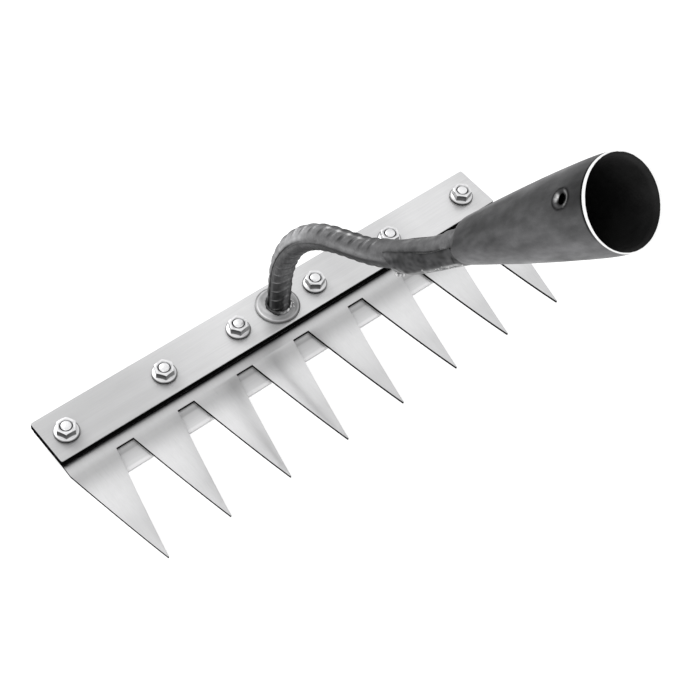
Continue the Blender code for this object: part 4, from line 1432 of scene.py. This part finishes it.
def build_socket():
    """Tapered socket and tongue in one sheet with a wall, a punched screw hole and a bright cut rim with
    painted highlight.
    """
    values = settings().socket
    layers = ("crest", "level")

    def body_place(u, v):
        """Point of the closed part."""
        return socket_surface(u, 2 * math.pi * v)

    def tongue_place(u, v):
        """Point of the tongue, which wraps further round the neck towards its free end."""
        wrap = tongue_wrap(u)
        return tongue_surface(u, math.pi - wrap + (math.pi + 2 * wrap) * v)

    bm = wrapped_grid(SOCKET_ROWS, values.columns, body_place, layers)
    tongue_columns = values.columns // 2 + 2 * values.tongue_start
    tongue = wrapped_grid(TONGUE_ROWS, tongue_columns, tongue_place, layers)
    piece_mesh = bpy.data.meshes.new("tongue_part")
    tongue.to_mesh(piece_mesh)
    tongue.free()
    bm.from_mesh(piece_mesh)
    bpy.data.meshes.remove(piece_mesh)
    shell = scratch_object("socket_shell", merge_doubles(bm))
    mouth, along = neck_line(socket_start() + values.length)
    lean = math.atan2(-along.y, along.z)
    outside = scale_material("Socket scale", values.tone, patch=130.0, contrast=0.15, lean=lean, stretch=2.2)
    finishes = [outside, black_material("Socket inside"), rim_material("Socket rim", mouth, along)]
    for finish in finishes:
        shell.data.materials.append(finish)
    wall = shell.modifiers.new("wall", "SOLIDIFY")
    wall.thickness = values.wall
    wall.offset = -1
    wall.use_even_offset = True
    wall.material_offset = 1
    wall.material_offset_rim = 2
    cutter = screw_hole_cutter()
    add_boolean(shell, cutter)
    bm = merge_doubles(evaluated(shell, cutter))
    for vert in bm.verts:
        behind = (mouth - vert.co).dot(along)
        away = vert.co - mouth + behind * along
        angle = math.atan2(away.dot(Vector((0, along.z, -along.y))), away.x)
        full = values.mouth_radius * (1 - values.oval * mouth_oval(angle))
        if behind < GROUND_DEPTH and away.length < full - 0.5 * values.wall:
            ragged = 0.00010 * ripple(ring_point(angle, 0, 3), 0.25)
            ground = values.ground * (1 - 0.70 * mouth_oval(angle)) + ragged
            vert.co += away.normalized() * ground * (1 - rise(behind, 0.0, GROUND_DEPTH))
    finish_piece("socket_sheet", bm, finishes, ["socket"], smooth=40,
                 keep_normals=True)


# The fillet's length on the neck, its lift over the ribs, how far it stays under the socket's small end, and
# how far in degrees it stays off the rod's middle on each side
FILLET_REACH = 0.0135
FILLET_LIFT = 0.0001
FILLET_STEP = 0.0032
FILLET_OFF = 4

# Radius of the bead at the tongue's free end, its spread round the rod in degrees, and its ripples
BEAD_RADIUS = 0.0014
BEAD_SPREAD = 80
BEAD_RIPPLES = 40


def build_socket_fillet():
    """Smooth fillet from the top of the neck up to the socket's small end."""
    neck = settings().neck
    low = neck.core_radius + neck.rib_height + FILLET_LIFT
    high = settings().socket.small_radius - FILLET_STEP
    start = socket_start()

    def place(u, v):
        """Point of the fillet, with its finish: u goes round its section, v over the neck."""
        angle = math.radians(FILLET_OFF) + (math.pi - math.radians(2 * FILLET_OFF)) * v
        share = 1 - abs(2 * u - 1)
        radius = neck.core_radius
        if u < 0.5:
            lump = 0.00018 * ripple(Vector((angle * 2, share * 5, 0)), 0.6, 2.0) * math.sin(math.pi * share)
            radius = low + (high - low) * share ** 1.9 + lump
        level = 1.55 - 0.50 * share + 0.3 * ripple(Vector((angle * 3, share * 4, 0)), 0.9, 6.0)
        return round_line(start - FILLET_REACH * (1 - share), radius, angle), 0.0, level

    bm = wrapped_grid(64, 56, place, ("crest", "level"))
    close_holes(bm)
    finish = scale_material("Socket weld", (0.105, 0.105, 0.107), patch=190.0)
    finish_piece("socket_fillet", bm, finish, ["socket_weld"], smooth=60)


def build_tongue_bead():
    """Short bead between the rod and the tongue's free end."""
    neck = settings().neck
    radius = neck.core_radius + neck.rib_height + GAP + BEAD_RADIUS
    distance = socket_start() - settings().socket.tongue - BEAD_RADIUS - GAP

    def place(u, v):
        """Point of the bead, with its finish: u goes across the tongue's end, v round the bead."""
        spread = math.radians(BEAD_SPREAD) * (u - 0.5)
        end = math.sqrt(max(0.0, 1 - (2 * u - 1) ** 8))
        section = 2 * math.pi * v
        wave = math.sin(BEAD_RIPPLES * u)
        size = BEAD_RADIUS * end * (1 + 0.2 * wave + 0.15 * ripple(Vector((u * 9, v * 3, 1)), 0.5))
        point = round_line(distance + size * math.cos(section), radius + size * math.sin(section),
                           1.5 * math.pi + spread)
        return point, 0.3 + 0.3 * wave, 1.0

    bm = wrapped_grid(60, 16, place, ("crest", "level"))
    finish = scale_material("Tongue weld", (0.25, 0.25, 0.255), patch=190.0)
    finish_piece("tongue_bead", bm, finish, ["tongue_weld"], smooth=60)


# Spatter

SPATTER_SEED = 11
FOOT_DROPS = 7
TONGUE_DROPS = 34


def add_drop(bm, point, outward, size, squash=0.6):
    """A flattened drop of weld metal sunk to its waist in a surface."""
    turn = outward.to_track_quat("Z", "Y").to_matrix().to_4x4()
    shape = Matrix.Translation(point) @ turn @ Matrix.Diagonal((size, size, size * squash, 1.0))
    bmesh.ops.create_icosphere(bm, subdivisions=2, radius=1.0, matrix=shape)


def build_spatter():
    """Drops of weld metal on the washer at the foot and along the tongue."""
    chance = random.Random(SPATTER_SEED)
    base = neck_start() + Vector((0, 0, WASHER_HIGH.z - WASHER_LOW.z))
    core = settings().neck.core_radius
    bm = bmesh.new()
    for _ in range(FOOT_DROPS):
        angle = chance.uniform(-0.9, -0.1)
        radius = core + chance.uniform(0.0014, 0.0024)
        point = base + ring_point(angle, 0, radius)
        add_drop(bm, point, Vector((0, 0, 1)), chance.uniform(0.00018, 0.00034))
    for _ in range(TONGUE_DROPS):
        back = chance.uniform(0.02, 0.60)
        angle = math.radians(chance.gauss(230, 6))
        distance = socket_start() - settings().socket.tongue * back
        point = round_line(distance, tongue_radius(back), angle)
        inward, _ = neck_line(distance)
        add_drop(bm, point, point - inward, chance.uniform(0.00015, 0.00036), 0.4)
    crest = bm.verts.layers.float.new("crest")
    level = bm.verts.layers.float.new("level")
    for vert in bm.verts:
        vert[crest] = 0.9
        vert[level] = 1.0
        vert.co += Vector((1, 1, 1)) * 0.00003 * ripple(vert.co, 0.0004)
    finish = scale_material("Bright spatter", (0.40, 0.40, 0.40))
    finish_piece("weld_spatter", bm, finish, smooth=60)


# Stage

FLOOR_RADIUS = 6.0
FLOOR_HEIGHT = -0.0002

# Each lamp's name, place, side length and the stage's value with its power; both aim at one point
LAMPS = (("Key", (-0.25, 1.30, 0.75), 0.8, "key_power"), ("Fill", (-1.2, -0.5, 0.35), 0.7, "fill_power"))
LAMP_AIM = (0, 0.02, 0.05)


def white_surface(name, colour, lift):
    """Diffuse white that camera, glossy and transmitted rays see a little brighter."""
    material = bpy.data.materials.new(name)
    material.use_nodes = True
    tree = material.node_tree
    tree.nodes.clear()
    diffuse = node(tree, "ShaderNodeBsdfDiffuse")
    diffuse.inputs["Color"].default_value = (*colour, 1.0)
    glow = node(tree, "ShaderNodeEmission")
    feed(tree, times(tree, seen_node(tree), lift), glow.inputs["Strength"])
    total = node(tree, "ShaderNodeAddShader")
    feed(tree, diffuse.outputs[0], total.inputs[0])
    feed(tree, glow.outputs[0], total.inputs[1])
    end = node(tree, "ShaderNodeOutputMaterial")
    feed(tree, total.outputs[0], end.inputs["Surface"])
    return material


def build_world(level):
    """Even white light; camera, glossy and transmitted rays see white."""
    world = bpy.data.worlds.new("Studio")
    bpy.context.scene.world = world
    world.use_nodes = True
    tree = world.node_tree
    background = tree.nodes["Background"]
    background.inputs["Color"].default_value = (*WHITE, 1.0)
    feed(tree, mix_node(tree, "Float", seen_node(tree), level, 1.0), background.inputs["Strength"])


def add_lamp(name, place, size, power):
    """A square area lamp that shines on the object."""
    lamp = bpy.data.lights.new(name, "AREA")
    lamp.shape = "SQUARE"
    lamp.size = size
    lamp.energy = power
    obj = bpy.data.objects.new(name, lamp)
    obj.location = place
    obj.rotation_euler = (Vector(LAMP_AIM) - Vector(place)).to_track_quat("-Z", "Y").to_euler()
    bpy.context.scene.collection.objects.link(obj)


def build_camera(stage):
    """Camera at the photograph's angle."""
    level = math.cos(stage.elevation)
    back = Vector((math.sin(stage.azimuth) * level, -math.cos(stage.azimuth) * level,
                   math.sin(stage.elevation)))
    camera = bpy.data.cameras.new("Camera")
    camera.lens = stage.lens
    camera.sensor_width = 36.0
    camera.clip_start = 0.01
    obj = bpy.data.objects.new("Camera", camera)
    turn = (-back).to_track_quat("-Z", "Y").to_matrix().to_4x4()
    obj.matrix_world = (Matrix.Translation(Vector(stage.target) + back * stage.distance) @ turn
                        @ Matrix.Rotation(stage.roll, 4, "Z"))
    bpy.context.scene.collection.objects.link(obj)
    bpy.context.scene.camera = obj


def build_stage():
    """Floor, world, lamps and camera."""
    stage = settings().stage
    bpy.context.scene.view_settings.view_transform = "Standard"
    bm = bmesh.new()
    bmesh.ops.create_circle(bm, cap_ends=True, segments=96, radius=FLOOR_RADIUS)
    mesh = bpy.data.meshes.new("floor")
    bm.to_mesh(mesh)
    bm.free()
    mesh.materials.append(white_surface("Floor", (0.9, 0.9, 0.9), 0.62))
    floor = bpy.data.objects.new("floor", mesh)
    bpy.context.scene.collection.objects.link(floor)
    floor.location.z = FLOOR_HEIGHT
    build_world(stage.world_level)
    for name, place, size, power in LAMPS:
        add_lamp(name, place, size, getattr(stage, power))
    build_camera(stage)


# Operators: an error in a step is raised, so that it stops the script

class RAKE_OT_stage(bpy.types.Operator):
    """Adds the floor, the lamps, the world and the camera"""

    bl_idname = "rake.stage"
    bl_label = "Stage"

    def execute(self, context):
        build_stage()
        return {"FINISHED"}


class RAKE_OT_bar(bpy.types.Operator):
    """Gives the flat bar its brushed finish"""

    bl_idname = "rake.bar"
    bl_label = "Bar"

    def execute(self, context):
        dress_bar()
        return {"FINISHED"}


class RAKE_OT_blade(bpy.types.Operator):
    """Builds the toothed blade"""

    bl_idname = "rake.blade"
    bl_label = "Toothed blade"

    def execute(self, context):
        build_blade()
        return {"FINISHED"}


class RAKE_OT_strip(bpy.types.Operator):
    """Builds the backing strip"""

    bl_idname = "rake.strip"
    bl_label = "Backing strip"

    def execute(self, context):
        build_strip()
        return {"FINISHED"}


class RAKE_OT_fasteners(bpy.types.Operator):
    """Builds the six nuts and the six bolts"""

    bl_idname = "rake.fasteners"
    bl_label = "Nuts and bolts"

    def execute(self, context):
        build_fasteners()
        return {"FINISHED"}


class RAKE_OT_neck(bpy.types.Operator):
    """Builds the ribbed neck"""

    bl_idname = "rake.neck"
    bl_label = "Neck"

    def execute(self, context):
        build_neck()
        return {"FINISHED"}


class RAKE_OT_foot(bpy.types.Operator):
    """Builds the washer and the weld at the foot of the neck"""

    bl_idname = "rake.foot"
    bl_label = "Foot"

    def execute(self, context):
        build_washer()
        build_foot_weld()
        return {"FINISHED"}


class RAKE_OT_socket(bpy.types.Operator):
    """Builds the socket and its tongue"""

    bl_idname = "rake.socket"
    bl_label = "Socket"

    def execute(self, context):
        build_socket()
        return {"FINISHED"}


class RAKE_OT_welds(bpy.types.Operator):
    """Builds the welds between the neck and the socket"""

    bl_idname = "rake.welds"
    bl_label = "Socket welds"

    def execute(self, context):
        build_socket_fillet()
        build_tongue_bead()
        return {"FINISHED"}


class RAKE_OT_spatter(bpy.types.Operator):
    """Scatters small drops of weld metal"""

    bl_idname = "rake.spatter"
    bl_label = "Weld spatter"

    def execute(self, context):
        build_spatter()
        return {"FINISHED"}


OPERATORS = (RAKE_OT_stage, RAKE_OT_bar, RAKE_OT_blade, RAKE_OT_strip, RAKE_OT_fasteners, RAKE_OT_neck,
             RAKE_OT_foot, RAKE_OT_socket, RAKE_OT_welds, RAKE_OT_spatter)


class RAKE_PT_panel(bpy.types.Panel):
    """Lists the rake's operators and values"""

    bl_idname = "RAKE_PT_panel"
    bl_label = "Weeding rake"
    bl_space_type = "VIEW_3D"
    bl_region_type = "UI"
    bl_category = "Rake"

    def draw(self, context):
        """One button for each operator, and the values of each group."""
        for operator in OPERATORS:
            self.layout.operator(operator.bl_idname)
        rake = context.scene.rake
        for label in ("plates", "fasteners", "neck", "socket", "stage"):
            group = getattr(rake, label)
            box = self.layout.box()
            box.label(text=label.capitalize())
            for key in group.__annotations__:
                box.prop(group, key)


CLASSES = (RakePlateSettings, RakeFastenerSettings, RakeNeckSettings, RakeSocketSettings, RakeStageSettings,
           RakeSettings, *OPERATORS, RAKE_PT_panel)


def register():
    """Registers the classes and the scene's values."""
    for item in CLASSES:
        bpy.utils.register_class(item)
    bpy.types.Scene.rake = PointerProperty(type=RakeSettings)


def unregister():
    """Removes the scene's values and the classes."""
    del bpy.types.Scene.rake
    for item in reversed(CLASSES):
        bpy.utils.unregister_class(item)


def main():
    """Registers the classes, then builds the stage and every piece."""
    register()
    for operator in OPERATORS:
        group, label = operator.bl_idname.split(".")
        getattr(getattr(bpy.ops, group), label)()


if __name__ == "__main__":
    main()
